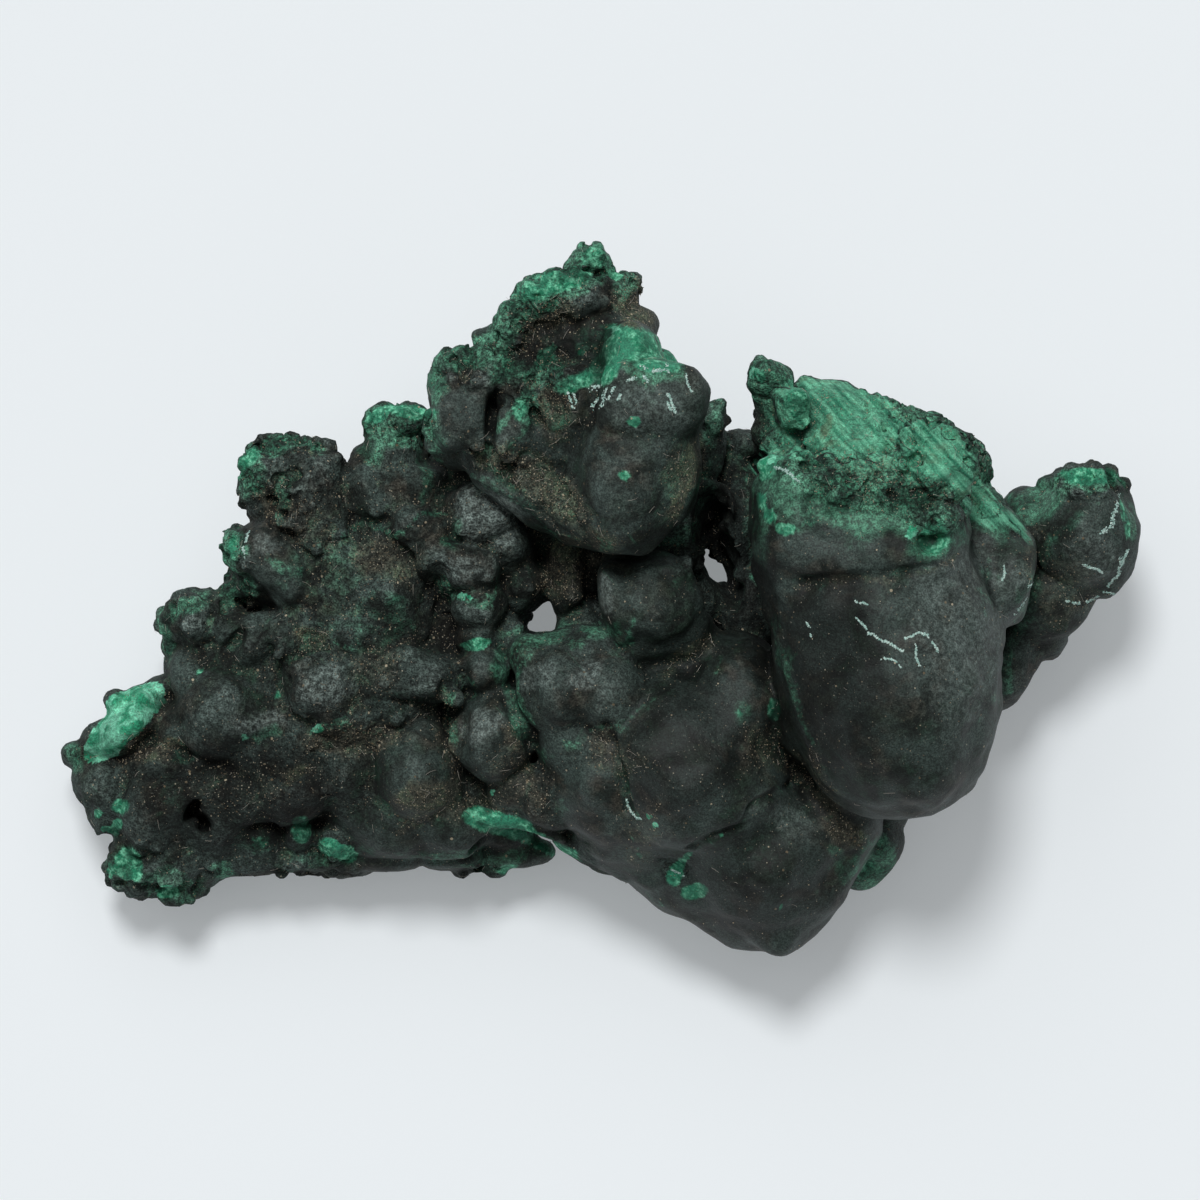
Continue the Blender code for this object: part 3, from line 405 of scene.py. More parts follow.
# Soft green on the broken top, the north lobe's crusts and the rims of the west end.
MOSS = [
    (24.3, 11.6, 10, 5, 0.9, -16), (19.4, 13.6, 4.4, 4, 0.85), (28.8, 16.6, 8, 2.8, 1, -28),
    (36.4, 11.4, 6.4, 2.4, 1, -45), (33, 17.4, 5.4, 2, 1, -35), (38.6, 12.6, 4, 1.8, 1, -50),
    (27.6, 20.4, 4, 1.2, 0.9, -20), (17.2, 21.6, 3.4, 3, 1), (18.8, 18.4, 2.6, 3, 1), (33, 6.8, 3, 3, 0.8),
    (15.8, 9, 1.4, 6, 0.6), (-4.8, 31, 5.6, 2.2, 1, 20), (-9.2, 27.4, 1.8, 4, 1, -15),
    (-0.7, 33.8, 2.4, 1.9, 1), (2.4, 31.4, 1.2, 1.6, 0.7), (-13, 24.6, 4.6, 1.6, 1, 20),
    (-16.6, 21.4, 1.6, 2, 0.9), (-9.4, 22.6, 2.4, 1.6, 0.8), (-5.6, 22.4, 2.2, 1.8, 0.8, 20),
    (3, 24.4, 5.2, 2, 1, -22), (-7, 19, 0.9, 1.8, 0.9), (-4.4, 18.4, 1.4, 1.6, 0.5),
    (7.4, 12.4, 1.2, 4.6, 0.35, -22), (-9.6, 12, 2.6, 0.6, 0.6, -38), (-19.8, 17.6, 4.2, 2.2, 1, -10),
    (-23, 15.4, 1.6, 1.8, 0.6), (-16.8, 13, 1, 3.4, 0.6, -15), (-35, 13.4, 1.4, 3.2, 0.8, 20),
    (-32, 15.6, 3.2, 1, 0.8), (-36.8, 5.2, 1.4, 2.6, 1), (-36.4, 1, 2.2, 1.8, 0.7, 20),
    (-41.6, -0.6, 2.6, 1.2, 0.8, 25), (-44, -4, 1.4, 2.6, 0.8), (-27.4, 3, 4.6, 4.4, 0.35),
    (-23, -2.2, 6.4, 3.4, 0.3), (-43.4, -28.8, 4.6, 1.6, 0.55, -15), (-47.6, -27, 2.4, 2.6, 0.4),
    (-35, -24.6, 3, 1.4, 0.4), (-27, -25.8, 4.6, 1, 0.5), (-12, -26, 8, 1.2, 0.55),
    (-4, -25.4, 3, 1.2, 0.9, -30), (-52.6, -15.6, 1.2, 1.6, 0.9), (11.4, 17.6, 1.2, 3, 0.6),
    (10.6, 11, 1.2, 4.4, 0.5, -10), (8.4, 6.6, 3.4, 0.9, 0.5, 35), (43.2, 9.6, 4, 2, 0.7, 25),
    (49.2, 12.2, 3.6, 1.2, 1), (53, 8.2, 0.9, 3, 0.5, 10), (46, 6.6, 3, 0.9, 0.5, 40),
    (43.2, 1, 1.2, 5.6, 0.5, -20), (27.6, -26.8, 2.6, 3, 0.9, 20), (41, -5.4, 0.9, 5.4, 0.4, -10),
    (18.9, -8.4, 0.7, 5.6, 0.5, 14), (-6.4, -3.4, 4, 0.8, 0.6, 5), (-9.2, -9.2, 0.8, 5.6, 0.7, 14),
    (0.2, -3, 1.6, 1, 0.7), (14, -11.4, 1, 1.6, 0.6, 10), (25.4, -28.4, 0.9, 5.4, 0.5, 32),
    (-41.8, -16, 1.4, 0.9, 0.6), (-48.1, -14.5, 1.2, 1.6, 0.8, -40), (-38, -27.3, 1.2, 0.9, 0.7),
    (-33.4, -13.6, 1.2, 1, 0.6), (-20.6, 0, 1.8, 0.9, 0.6, 10), (-14.4, 6.6, 1, 1.5, 0.7),
    (-31.4, 10.2, 1.2, 2.2, 0.6), (-42.6, -19.6, 1.4, 3.6, 0.3, 30),
]

# Brighter, harder-edged green.
GREEN = [
    (-50.5, -21.3, 0.32, 0.6, 1), (-48.2, -20.7, 1.2, 0.8, 0.75), (-48.6, -22.9, 0.6, 1.1, 0.95, -25),
    (-49.8, -22.9, 0.4, 0.3, 1), (-47.3, -26.6, 1.45, 1.7, 1, 10), (-49.1, -27.2, 0.5, 1, 0.8),
    (-43.6, -29.3, 1.3, 0.7, 0.75), (-30.1, -23.1, 1.1, 1.35, 1), (-26.3, -25.2, 2, 0.9, 1, -25),
    (-32.4, -9.5, 0.5, 0.45, 0.9), (-34.3, -24.3, 0.9, 0.8, 0.6), (-22.2, 18.4, 1.4, 0.9, 0.8, 20),
    (-19, 18.9, 3, 0.8, 0.85, -8), (-36.6, 5.4, 0.6, 1.4, 0.7), (-35, 14.2, 0.8, 1.9, 0.8, -25),
    (-12.3, -4.3, 1.4, 0.65, 1, 5), (-4.6, 31.4, 4.4, 1.3, 0.75, 18), (-0.6, 34, 1.6, 1.2, 0.6),
    (4.2, 24.9, 4.4, 1.9, 1, -22), (0.6, 23.2, 1.6, 2.2, 0.95, -30), (-2.4, 21.6, 2.4, 1, 0.75, 20),
    (-5.5, 24, 1.6, 1, 0.7, 40), (3.4, 17.7, 0.8, 0.6, 1, 10), (2.35, 12.3, 0.55, 0.5, 1),
    (-8, 18.9, 0.9, 1.4, 0.6), (19.4, 19.6, 1.6, 1.6, 0.8), (33.6, 6.4, 1.6, 1.4, 0.6),
    (18.3, 7.1, 1, 0.65, 1, 15), (16.4, 13.4, 1.2, 1.6, 0.85), (16, 9.8, 0.6, 1, 0.9),
    (17, 8.2, 0.7, 0.9, 0.9), (32.9, 6.2, 1.9, 1.9, 0.7), (7.5, -27.4, 0.85, 1.6, 1, -22),
    (9.5, -29.2, 1.3, 0.8, 1, 8), (8.6, -25.6, 0.35, 0.9, 0.9, -35), (17.3, -10.9, 0.8, 1.3, 0.85),
    (13.8, -11.2, 0.5, 0.7, 0.7), (26.6, -27, 1.6, 1.2, 0.55, 35), (48.8, 12.4, 3.2, 1, 0.85),
    (52.4, 8, 0.5, 2.4, 0.6, 10), (16, 22.4, 0.5, 0.7, 0.8), (-39.9, -7.2, 0.5, 0.5, 0.6),
    (1.6, 32.6, 1, 0.8, 0.6), (12.2, -23.5, 0.25, 0.2, 1), (18.1, -30.6, 0.35, 0.16, 1, 40),
    (-9, -27.2, 1.2, 0.8, 0.7),
]

# The fibrous broken top, whose fibres run down to the south-east.
FIBROUS = [
    (22.6, 19.6, 5.2, 2.8, 1, -12), (21.6, 16.6, 5, 2.6, 1, -25), (27, 17.6, 3.6, 3, 1, -25),
    (25.4, 14.8, 4.4, 1.8, 0.6, -35), (33, 14.6, 3.8, 3, 1, -35), (36.4, 11.4, 4.8, 1.9, 1, -47),
    (40.4, 7.8, 3.4, 0.9, 0.8, -44), (30.4, 12.6, 3.4, 1.3, 0.6, -35), (18.6, 15.4, 2.4, 1.4, 0.7, 20),
]

# The palest green, where the stone is bruised or freshly broken.
MINT = [
    (-49.2, -13.8, 3.2, 1.9, 1, 52), (-46.4, -10.4, 3, 1.9, 1, 35), (-47.6, -11.6, 3.2, 2.4, 1, 45),
    (-10.6, -19.3, 0.38, 0.3, 1), (-13.4, 0.4, 1.2, 0.35, 0.9, -3), (5, -21.7, 0.3, 0.25, 1),
    (5.6, -22.5, 0.3, 0.35, 1), (1.6, 26.8, 0.6, 0.5, 0.9), (0.3, 22.6, 0.8, 0.5, 0.8, 40),
    (15.4, 22.6, 0.35, 0.6, 0.9, -20), (-35.5, -13.7, 0.6, 0.4, 0.7), (-28, -12.8, 0.7, 0.45, 0.8),
    (-1.6, 24.6, 0.35, 0.4, 0.9), (30.6, 6.8, 0.5, 0.7, 0.8), (16.4, 14.2, 1, 0.8, 0.7),
]

# A thin grey film, and painted sheen on some lobes, such as the east lobe's right side.
PALE_FILM_AND_SHEEN = [
    (-34.6, -12.6, 3.4, 1.2, 0.8, 5), (-38, -11.6, 4, 3.4, 0.35), (-33.4, 5.6, 1.8, 1.8, 0.7),
    (-27.6, -8.8, 2.8, 2.8, 0.75), (-24.8, 12.4, 2.8, 2.4, 0.2), (-11.2, 8.8, 3.6, 3.4, 1, 20),
    (-14, 2.9, 2.8, 1.7, 0.8, -10), (-11.8, -12.6, 2.4, 1.4, 0.85, 8), (-18.6, -12.6, 1.8, 3, 0.3),
    (-1.6, -7.5, 2.2, 1.8, 0.9, 30), (-6.4, -7.4, 2.4, 1.8, 0.6), (0.2, 0.6, 1, 2, 0.8),
    (5, 19, 4.6, 3, 0.5, -10), (2.6, 11.4, 4, 4.4, 0.3), (8.6, 12.4, 1.4, 3.6, 0.6, -20),
    (-13.8, 18.4, 2.8, 3.2, 0.2), (-8.6, 17, 1.6, 1.8, 0.3), (4.4, 27.4, 1.6, 2.2, 0.5),
    (23, 3.6, 5, 1, 0.3, 3), (35.4, -2.6, 5.4, 11, 0.6), (30, 0.5, 4, 3, 0.3), (40.4, 1.8, 2.2, 3, 0.6),
    (43, 5.9, 1, 0.9, 0.8), (19, -21.8, 2.6, 2.2, 0.5, -35), (-48.4, -17.4, 2.6, 1.6, 0.3),
    (-8.4, -19.6, 2.2, 2.4, 0.25), (49.4, 4.4, 3, 3, 0.6), (-2, -12, 4, 2, 0.2), (15.4, 5.6, 1.4, 1.4, 0.5),
]

# Darkened places: painted shade in deep clefts and on the shaded sides of lobes, and stone that is darker of
# itself.
DARK_AND_SHADE = [
    (22.8, -7.6, 5.6, 10.4, 0.95), (8.6, -14, 6.4, 7.6, 0.78, -30), (16, -28.6, 8.4, 6, 0.62, 10),
    (-36.4, -19.6, 11, 5.8, 1), (-14.2, 18.4, 3, 3.6, 0.25), (-1.4, -4, 4.6, 4.6, 0.2),
    (-1.6, 25.6, 3.4, 3, 0.95), (-5.8, 14.6, 1.6, 3, 0.4), (-6.6, 25.2, 2.2, 2.2, 0.7),
    (15.4, 0.6, 2.2, 9, 1, 4), (-3.4, 1.8, 3.4, 3.4, 0.6), (-10.8, 18.2, 0.6, 2.6, 1),
    (-40.4, -21.4, 1.4, 1.6, 0.3), (-12, -24.6, 8, 1.8, 0.5), (-23, -23, 7, 2, 0.4),
    (30, -17.6, 9, 3.4, 0.35, 10), (12, 9, 2.4, 7, 0.8), (-15, -4.4, 1.8, 2.4, 0.7), (0, -24, 3, 4, 0.2),
    (16.4, 19, 0.9, 2, 0.6, 20), (44.4, -3, 2.4, 4, 0.15, -30), (-45, -22, 3, 3.4, 0.35),
    (-44.6, -12.6, 1.4, 2.6, 0.4, 20), (-30, 1.2, 2.2, 2.2, 0.3), (12.6, -2.4, 3.6, 2.4, 0.6, 30),
    (-17, -7.4, 4, 1, 0.5, 10), (22, 9.4, 2.6, 1.4, 0.4), (30, 9.4, 3, 1.6, 0.4, -20),
]

DUST = [
    (-5, 10.6, 5, 2, 0.7, -36), (-9.6, 13.6, 4, 1.8, 0.7, -25), (3.6, 29.6, 2.2, 2.4, 1),
    (-4.9, 18.9, 1.6, 2.2, 0.9), (8.4, 12, 1.3, 4.6, 1, -20), (-44.3, -14.8, 2.8, 1.6, 0.8),
    (-36, -18.6, 5.6, 2.6, 0.4), (-30.1, -17.4, 1.4, 0.9, 1), (-21.2, 4, 3.8, 2.4, 0.7),
    (-29, -3.6, 1.7, 1.2, 0.9), (-17.5, -19.7, 3.6, 1.7, 0.95), (-6.2, 11.8, 4.4, 2.4, 0.7, -35),
    (-9.8, 14.2, 3.4, 1.6, 0.6, -25), (1.8, -15.6, 3.4, 1.8, 0.6, -20), (-3.4, 3.2, 2.8, 3.2, 0.9),
    (-1, 5.2, 3.2, 1.6, 0.8), (20, -16.6, 2.2, 1.6, 0.9, -30), (24.8, -23.1, 2, 1.4, 0.95, -40),
    (16, -14.2, 2.4, 1.6, 0.7), (-4.6, 28, 2.6, 2, 0.8), (2.2, 29.9, 1.6, 1.8, 0.7),
    (-4.6, 17.8, 1.8, 2.4, 0.6), (7.8, 12.6, 1.8, 3.6, 0.55, -15), (-24.6, -13.8, 5.6, 1.6, 0.8, 5),
    (-9, -18, 2.4, 3, 0.5), (8.6, -5.6, 3.6, 1.2, 0.6, 35), (-32.6, 9.8, 2, 2, 0.6),
    (-29.8, 7.6, 2, 2.4, 0.5), (28, 12.6, 6, 1.8, 0.45, -18), (47, 0.6, 3, 4, 0.5, -30),
    (43.5, 4, 1.6, 4, 0.5), (4.6, -23.6, 1.4, 3.6, 0.5, -15), (22.6, 20.6, 1.2, 0.7, 0.7),
    (-22, -7, 3, 3, 0.5), (-14.5, -19, 1, 3.6, 0.6),
]

# Lines on the upper side: (half width, strength, points).
GREEN_LINES = [
    (0.9, 0.85, [(-35.5, 10.5), (-35.7, 12.8), (-34.9, 14.7), (-33.2, 15.9), (-31.2, 16.1), (-28.6, 15.2)]),
    (0.5, 0.8, [(-25.5, 6.7), (-23.6, 7.5), (-20.5, 6.7), (-18.6, 8.2), (-16.9, 9), (-15.8, 8.6)]),
    (0.55, 0.85, [(-16.3, 1.7), (-14.6, 0.6), (-12.7, 0.2), (-11.2, -0.2), (-10.2, 1.2), (-9.8, 2.9)]),
    (0.6, 0.75, [(-33.6, 3.6), (-31.5, 2.9), (-29.8, 3)]),
    (0.35, 0.7, [(-26.5, -4.3), (-24.5, -4.6), (-23.9, -3.2), (-24.3, -1.9)]),
    (0.6, 0.7, [(-9.3, -7.9), (-8.5, -6), (-7.4, -4.4), (-5.5, -3.6), (-3.7, -4), (-1.8, -4.2)]),
    (0.7, 0.8, [(-8.9, -8.8), (-8.5, -9.8), (-7.6, -11.9), (-6.6, -13.8), (-5.5, -15.7)]),
    (0.6, 0.85, [(-14.6, -9.4), (-14.9, -11.3), (-14.6, -13.2), (-14.3, -14.4)]),
    (0.3, 0.85, [(-12.9, -7.8), (-12.6, -9.2), (-12.9, -10)]),
    (0.4, 0.85, [(1.4, -4.4), (3, -3.5), (3.2, -2.1)]),
    (0.5, 0.65, [(-3.4, -14.2), (-0.1, -13.2), (2.2, -12.1), (5.6, -9.4)]),
    (0.32, 0.95, [(3.4, -19.7), (3.7, -20.9), (4.3, -21.8)]), (0.2, 0.9, [(3.7, -24.1), (4.6, -25.6)]),
    (0.4, 0.7, [(-12.6, 12.4), (-9.5, 10.7), (-6.3, 8.7), (-4.4, 6.7), (-1.3, 5.6), (1.5, 5)]),
    (0.6, 0.75, [(19.2, 7.6), (22.8, 7.4), (25.9, 6.5)]),
    (0.45, 0.6, [(37.9, 3.8), (38.1, 0.6), (38.4, -1.4)]),
    (0.5, 0.65, [(40.9, -2.4), (41.2, -6), (40.6, -9.6)]),
    (0.6, 0.8, [(18.3, -5.7), (19, -8.3), (19.9, -11.2), (20.9, -14.2)]),
    (0.45, 0.7, [(17.2, -1.6), (17.3, -3.6), (17.9, -5.2)]), (0.35, 0.85, [(3.4, -29.4), (6.4, -31.1)]),
    (0.3, 0.7, [(11.8, -5.6), (11.8, -6.8)]), (0.55, 0.9, [(-9.9, 17.2), (-9.2, 18.6), (-8, 19.2)]),
    (0.4, 0.7, [(-7.3, 18), (-7.3, 15.8), (-8.6, 15)]), (0.5, 0.6, [(14.5, 14.2), (14.6, 11), (15.2, 8.4)]),
    (0.4, 0.7, [(-28.4, -12.8), (-25, -12.1), (-21, -13.6)]),
    (0.4, 0.75, [(44.6, 10.6), (47.2, 12.2), (50.6, 12.5)]),
]

# The green rim over the recess in the south edge.
BLADE_LINE = [
    (0.85, 1, [(-12.9, -21.7), (-11.6, -22.3), (-9.6, -22.9), (-7.2, -23.7), (-5.2, -24.7), (-3, -25.8)]),
    (0.7, 1, [(-12.4, -21.3), (-10.2, -21.9), (-7.4, -22.7)]),
]

DUST_LINES = [
    (0.3, 0.6, [(19.4, 1.2), (21.8, 1.7), (25, 1.9), (27.6, 2.2), (30.4, 2.4), (33.3, 3), (35, 4.1)]),
    (0.7, 0.35, [(0.8, -12.8), (2.4, -19), (3.2, -25)]),
    (1.2, 0.6, [(15.6, -15), (19.8, -16.8), (22.2, -19.4), (25.2, -23.4)]),
    (0.8, 0.7, [(-19.5, -22.6), (-14, -20.2), (-10, -21)]),
    (0.9, 0.7, [(-15.4, -9.6), (-15.2, -14), (-14.2, -18.6)]),
    (0.7, 0.7, [(-9.4, -13), (-7.4, -17), (-6, -20.4)]),
    (0.9, 0.7, [(-28, -13.6), (-24, -12.8), (-21.4, -14)]),
]

# Chalky flecks and scratches, in the same form: each is a row of tiny crystals.
CHALK_LINES = [
    (0.12, 1, [(-3.2, 20.6), (-2.6, 18.8)]), (0.1, 0.9, [(-2.7, 20.4), (-2.3, 19.4)]),
    (0.22, 1, [(-0.9, 20.9), (0, 21.2)]), (0.16, 1, [(-0.7, 18.9), (0, 20.2)]),
    (0.2, 1, [(0.1, 19.1), (0.6, 20.8)]), (0.16, 0.9, [(0.7, 19.5), (1.3, 21)]),
    (0.12, 0.9, [(1.6, 19.6), (2, 20.3)]), (0.2, 0.9, [(2.6, 21.5), (3.5, 22)]),
    (0.14, 0.9, [(4.3, 22.2), (4.7, 21.5)]), (0.16, 0.8, [(4, 23.1), (4.7, 22.9)]),
    (0.12, 0.8, [(6.5, 23.3), (6.8, 22.4)]), (0.08, 0.8, [(8.4, 22.4), (8.9, 20.5)]),
    (0.12, 1, [(6.6, 20.3), (7.5, 18.5)]), (0.1, 1, [(6.6, 19.5), (7.1, 18.5)]),
    (0.14, 0.8, [(5.2, 22.6), (6.6, 22.8)]), (0.14, 0.9, [(17.2, 13.2), (18.4, 12.7), (19.6, 11.7)]),
    (0.09, 0.9, [(25.2, -0.1), (26.2, -0.5)]),
    (0.1, 0.85, [(25.3, -1.8), (26.1, -2.6), (26.4, -3.2), (28.2, -4.2), (29.9, -5.1)]),
    (0.11, 0.85, [(30, -3.8), (31.5, -3.2), (32.1, -3.5), (33, -4.5), (33.5, -5.3)]),
    (0.09, 0.8, [(31.1, -4.4), (31.2, -5.6), (31.5, -6.6)]),
    (0.08, 0.8, [(27.7, -5.7), (29.1, -6), (29.7, -6.5)]), (0.1, 0.9, [(40.2, 3.4), (39.9, 1.9)]),
    (0.1, 0.8, [(43.2, 1.8), (42.4, 1.3)]), (0.12, 0.7, [(42.6, 0.2), (41.2, -1.4)]),
    (0.2, 1, [(51.8, 10.6), (51.5, 8.9), (51, 7.6), (50.2, 6.6)]),
    (0.16, 1, [(52.6, 5), (52.2, 3.4), (51.6, 2.2), (50.8, 1.4)]), (0.14, 1, [(48.2, 3.6), (50.6, 2.4)]),
    (0.1, 0.9, [(50.4, 0.8), (52.6, 0.4)]), (0.12, 0.9, [(46.6, -0.2), (48.6, -0.3), (50, 0.4)]),
    (0.14, 0.8, [(52, 4.2), (51.7, 2.3)]), (0.1, 0.9, [(2.6, -19.9), (3.2, -21.4), (4.3, -22)]),
    (0.1, 0.8, [(7.2, -27), (8.3, -27.6)]), (0.12, 0.8, [(-34.9, 7.2), (-35.7, 5.4), (-35.5, 4.2)]),
    (0.1, 0.7, [(20.4, -2.2), (20.9, -3.6)]),
]

# Grooves worn into the skin and ridges grown on it: (radius, depth or height, points).
GROOVES = [
    (0.9, 0.2, [(20.2, 1.4), (21.8, 1.7), (25, 1.9), (27.6, 2.2), (30.4, 2.4), (33.3, 3), (35, 4.1)]),
    (0.5, 0.45, [(19.9, -17.9), (17.7, -19), (14.9, -20.7), (14.6, -22.4), (11.2, -23.5), (9, -24.8)]),
    (0.8, 0.6, [(-15.4, -8.6), (-15.2, -12), (-14.6, -15)]),
    (0.7, 0.6, [(-9.3, -9.6), (-8.2, -12.4), (-6.6, -15.2)]),
    (0.6, 0.5, [(0.6, -12.6), (2, -17), (2.8, -21)]), (0.5, 0.5, [(-10.4, 16.9), (-10.6, 19.3)]),
    (0.6, 0.5, [(28.5, 17), (30.5, 15), (31.8, 12.6)]), (0.5, 0.6, [(34.8, 14.6), (36.4, 13), (37.6, 11.4)]),
]

RIDGES = [
    (0.55, 0.3, [(-35.5, 10.5), (-35.6, 12.8), (-34.9, 14.6), (-33.2, 15.7), (-31.2, 15.9), (-28.8, 15)]),
    (0.5, 0.35, [(-25.5, 6.7), (-23.6, 7.5), (-20.5, 6.7), (-18.6, 8.2), (-16.9, 9), (-15.8, 8.6)]),
    (0.55, 0.4, [(-17, 2.4), (-16.3, 1.7), (-14.6, 0.6), (-12.7, 0.2), (-11.2, -0.2), (-10.2, 1.2)]),
    (0.45, 0.3, [(-33.6, 3.6), (-31.5, 2.9), (-29.8, 3)]),
    (0.45, 0.35, [(-26.5, -4.3), (-24.5, -4.6), (-23.9, -3.2), (-24.3, -1.9)]),
    (0.45, 0.3, [(1.4, -4.4), (3, -3.5), (3.2, -2.1)]),
    (0.5, 0.35, [(-12.6, 12.6), (-9.5, 11.1), (-6.3, 9.2), (-4.4, 7.1), (-1.3, 6)]),
    (0.6, 0.4, [(18.4, -5.7), (19.1, -8.3), (20, -11.2), (20.9, -14)]),
    (0.5, 0.3, [(-28.4, -12.8), (-25, -12.1), (-21, -13.6)]),
    (0.5, 0.3, [(-14.6, -9.4), (-14.8, -11.3), (-14.5, -13.2)]),
    (0.45, 0.35, [(27, 19.4), (28.5, 17.6), (30, 15.4), (31.5, 13.8), (32.8, 11.7)]),
    (0.4, 0.3, [(19.2, 7.6), (22.8, 7.4), (25.9, 6.5)]),
]


class Skin:
    """A grid of distances to the stone's skin, below zero inside it, with the crustiness of what is there."""

    def __init__(self, low, high, step):
        self.low = np.array(low)
        self.step = step
        counts = ((np.array(high) - self.low) / step).astype(int) + 1
        self.axes = [self.low[i] + step * np.arange(counts[i]) for i in range(3)]
        self.distance = np.full(counts, FAR, np.float32)
        self.crust = np.zeros(counts, np.float32)
        self.sway = [sum(reach * soft_grid(self.axes, size) for size, reach in SWAY) for _ in range(3)]

    def near(self, lump, reach):
        """The block of cells round a lump, and each one's distance to it."""
        x, y, z, a, b, c = lump[:6]
        turn = math.radians(lump[6] if len(lump) > 6 else 0)
        power = lump[7] if len(lump) > 7 else ROUND
        half = np.array((max(a, b), max(a, b), c)) + reach
        first = np.maximum((np.array((x, y, z)) - half - self.low) / self.step, 0).astype(int)
        last = np.maximum((np.array((x, y, z)) + half - self.low) / self.step, 0).astype(int) + 2
        block = tuple(slice(f, t) for f, t in zip(first, last))
        share = min(1.0, 2 * min(a, b) / FULL_SWAY)
        dx = (self.axes[0][block[0]] - x)[:, None, None] + share * self.sway[0][block]
        dy = (self.axes[1][block[1]] - y)[None, :, None] + share * self.sway[1][block]
        dz = (self.axes[2][block[2]] - z)[None, None, :] + share * self.sway[2][block]
        along, across = dx * math.cos(turn) + dy * math.sin(turn), dy * math.cos(turn) - dx * math.sin(turn)
        along, across, upward = np.abs(along) / a, np.abs(across) / b, np.abs(dz) / c
        near = (along**power + across**power + upward**power) ** (1 / power)
        steep = power - 1
        slope = np.sqrt((along**steep / a) ** 2 + (across**steep / b) ** 2 + (upward**steep / c) ** 2)
        return block, (near**steep * (near - 1) / np.maximum(slope, 1e-6)).astype(np.float32)

    def add(self, lump, blend, crust=None):
        block, distance = self.near(lump, LUMP_REACH)
        if crust is not None:
            self.crust[block] = np.where(distance < self.distance[block], crust, self.crust[block])
        self.distance[block] = smooth_least(self.distance[block], distance, blend)

    def cut(self, lump, blend):
        block, distance = self.near(lump, LUMP_REACH)
        self.distance[block] = -smooth_least(-self.distance[block], distance, blend)

    def cut_floor(self):
        self.distance = np.maximum(self.distance, -self.axes[2][None, None, :].astype(np.float32))

    def cells_of(self, points):
        cells = np.rint((points - self.low) / self.step).astype(int)
        return tuple(np.clip(cells[:, i], 0, len(self.axes[i]) - 1) for i in range(3))

    def tops(self):
        """The height of the skin's top over each cell of the floor, and below the floor off the stone."""
        inside = self.distance < 0
        highest = inside.shape[2] - 1 - np.argmax(inside[:, :, ::-1], axis=2)
        return np.where(inside.any(axis=2), self.axes[2][highest], self.axes[2][0])

    def polygons(self):
        """The skin's points and its four-sided faces."""
        grid = openvdb.FloatGrid()
        grid.background = FAR
        grid.copyFromArray(self.distance)
        grid.transform = openvdb.createLinearTransform(voxelSize=1.0)
        points, _, faces = grid.convertToPolygons(isovalue=0.0, adaptivity=0.0)
        return points * self.step + self.low, faces


def soft_grid(axes, size):
    """Smooth random values from about -1 to 1 over a grid, whose swings are size millimetres apart."""
    values = RANDOM.uniform(-1.0, 1.0, [int((axis[-1] - axis[0]) / size) + 3 for axis in axes])
    for axis, places in enumerate(axes):
        at = (places - places[0]) / size
        first = at.astype(int)
        share = at - first
        share = (share * share * (3 - 2 * share)).reshape([-1 if a == axis else 1 for a in range(3)])
        values = np.take(values, first, axis) * (1 - share) + np.take(values, first + 1, axis) * share
    return values.astype(np.float32)


def smooth_least(a, b, blend):
    """The lesser of a and b, rounded off where they are within blend of each other."""
    closeness = np.maximum(blend - np.abs(a - b), 0) / blend
    return np.minimum(a, b) - closeness**2 * blend / 4


def faded(value, full, none):
    """1 where value is under full, falling smoothly to 0 at none."""
    t = np.clip((none - value) / (none - full), 0, 1)
    return t * t * (3 - 2 * t)


def risen(value, none, full):
    """0 where value is under none, rising smoothly to 1 at full."""
    return faded(-value, -full, -none)


def stone_skin():
    """The stone's distances: lumps joined, hollows cut, then the small growths and worn grooves."""
    skin = Skin(GRID_LOW, GRID_HIGH, GRID_STEP)
    for lumps, crust in CRUSTINESS:
        for lump in lumps:
            skin.add(lump, LUMP_BLEND_SATIN if crust < SATIN else LUMP_BLEND, crust)
    for hollow in HOLLOWS:
        skin.cut(hollow, HOLLOW_BLEND)
    tops = skin.tops()
    for radius, depth, points in GROOVES:
        for x, y in evenly(points, radius * 0.6):
            skin.cut((x, y, top_at(skin, tops, x, y) + radius - depth, radius, radius, radius), GROWTH_BLEND)
    for radius, height, points in RIDGES:
        for x, y in evenly(points, radius * 0.8):
            skin.add((x, y, top_at(skin, tops, x, y) - radius + height, radius, radius, radius), GROWTH_BLEND)
    grow_knobs(skin, tops)
    skin.cut_floor()
    return skin


def grow_knobs(skin, tops):
    """Small knobs and pits crowded on the spongy crusts, and sparse knobs on the other rough ground."""
    points, _ = skin.polygons()
    spongy = patch_level(points, SPONGY) * topmost(skin, tops, points)
    crust = skin.crust[skin.cells_of(points)]
    rough = np.clip(crust - SPARSE_KNOBS_CRUST, 0, 1)
    chance = SPONGY_KNOBS * spongy + SPARSE_KNOBS * rough * risen(points[:, 2], *SPARSE_KNOBS_HEIGHTS)
    cell_area = skin.step**2
    chosen = RANDOM.random(len(points)) < chance * cell_area * KNOBS_PER_SQUARE_MM
    for x, y, z in points[chosen]:
        radius = RANDOM.uniform(*KNOB_RADIUS)
        skin.add((x, y, z, radius, radius, radius), GROWTH_BLEND)
    chosen = RANDOM.random(len(points)) < spongy * cell_area * PITS_PER_SQUARE_MM
    for x, y, z in points[chosen]:
        radius = RANDOM.uniform(*PIT_RADIUS)
        skin.cut((x, y, z + radius * PIT_RISE, radius, radius, radius), GROWTH_BLEND)


def evenly(points, spacing):
    """Points along a line of straight runs, about as far apart as spacing."""
    placed = []
    for (x0, y0), (x1, y1) in zip(points, points[1:]):
        count = max(1, round(math.hypot(x1 - x0, y1 - y0) / spacing))
        for i in range(count):
            placed.append((x0 + (x1 - x0) * i / count, y0 + (y1 - y0) * i / count))
    return placed + [points[-1]]


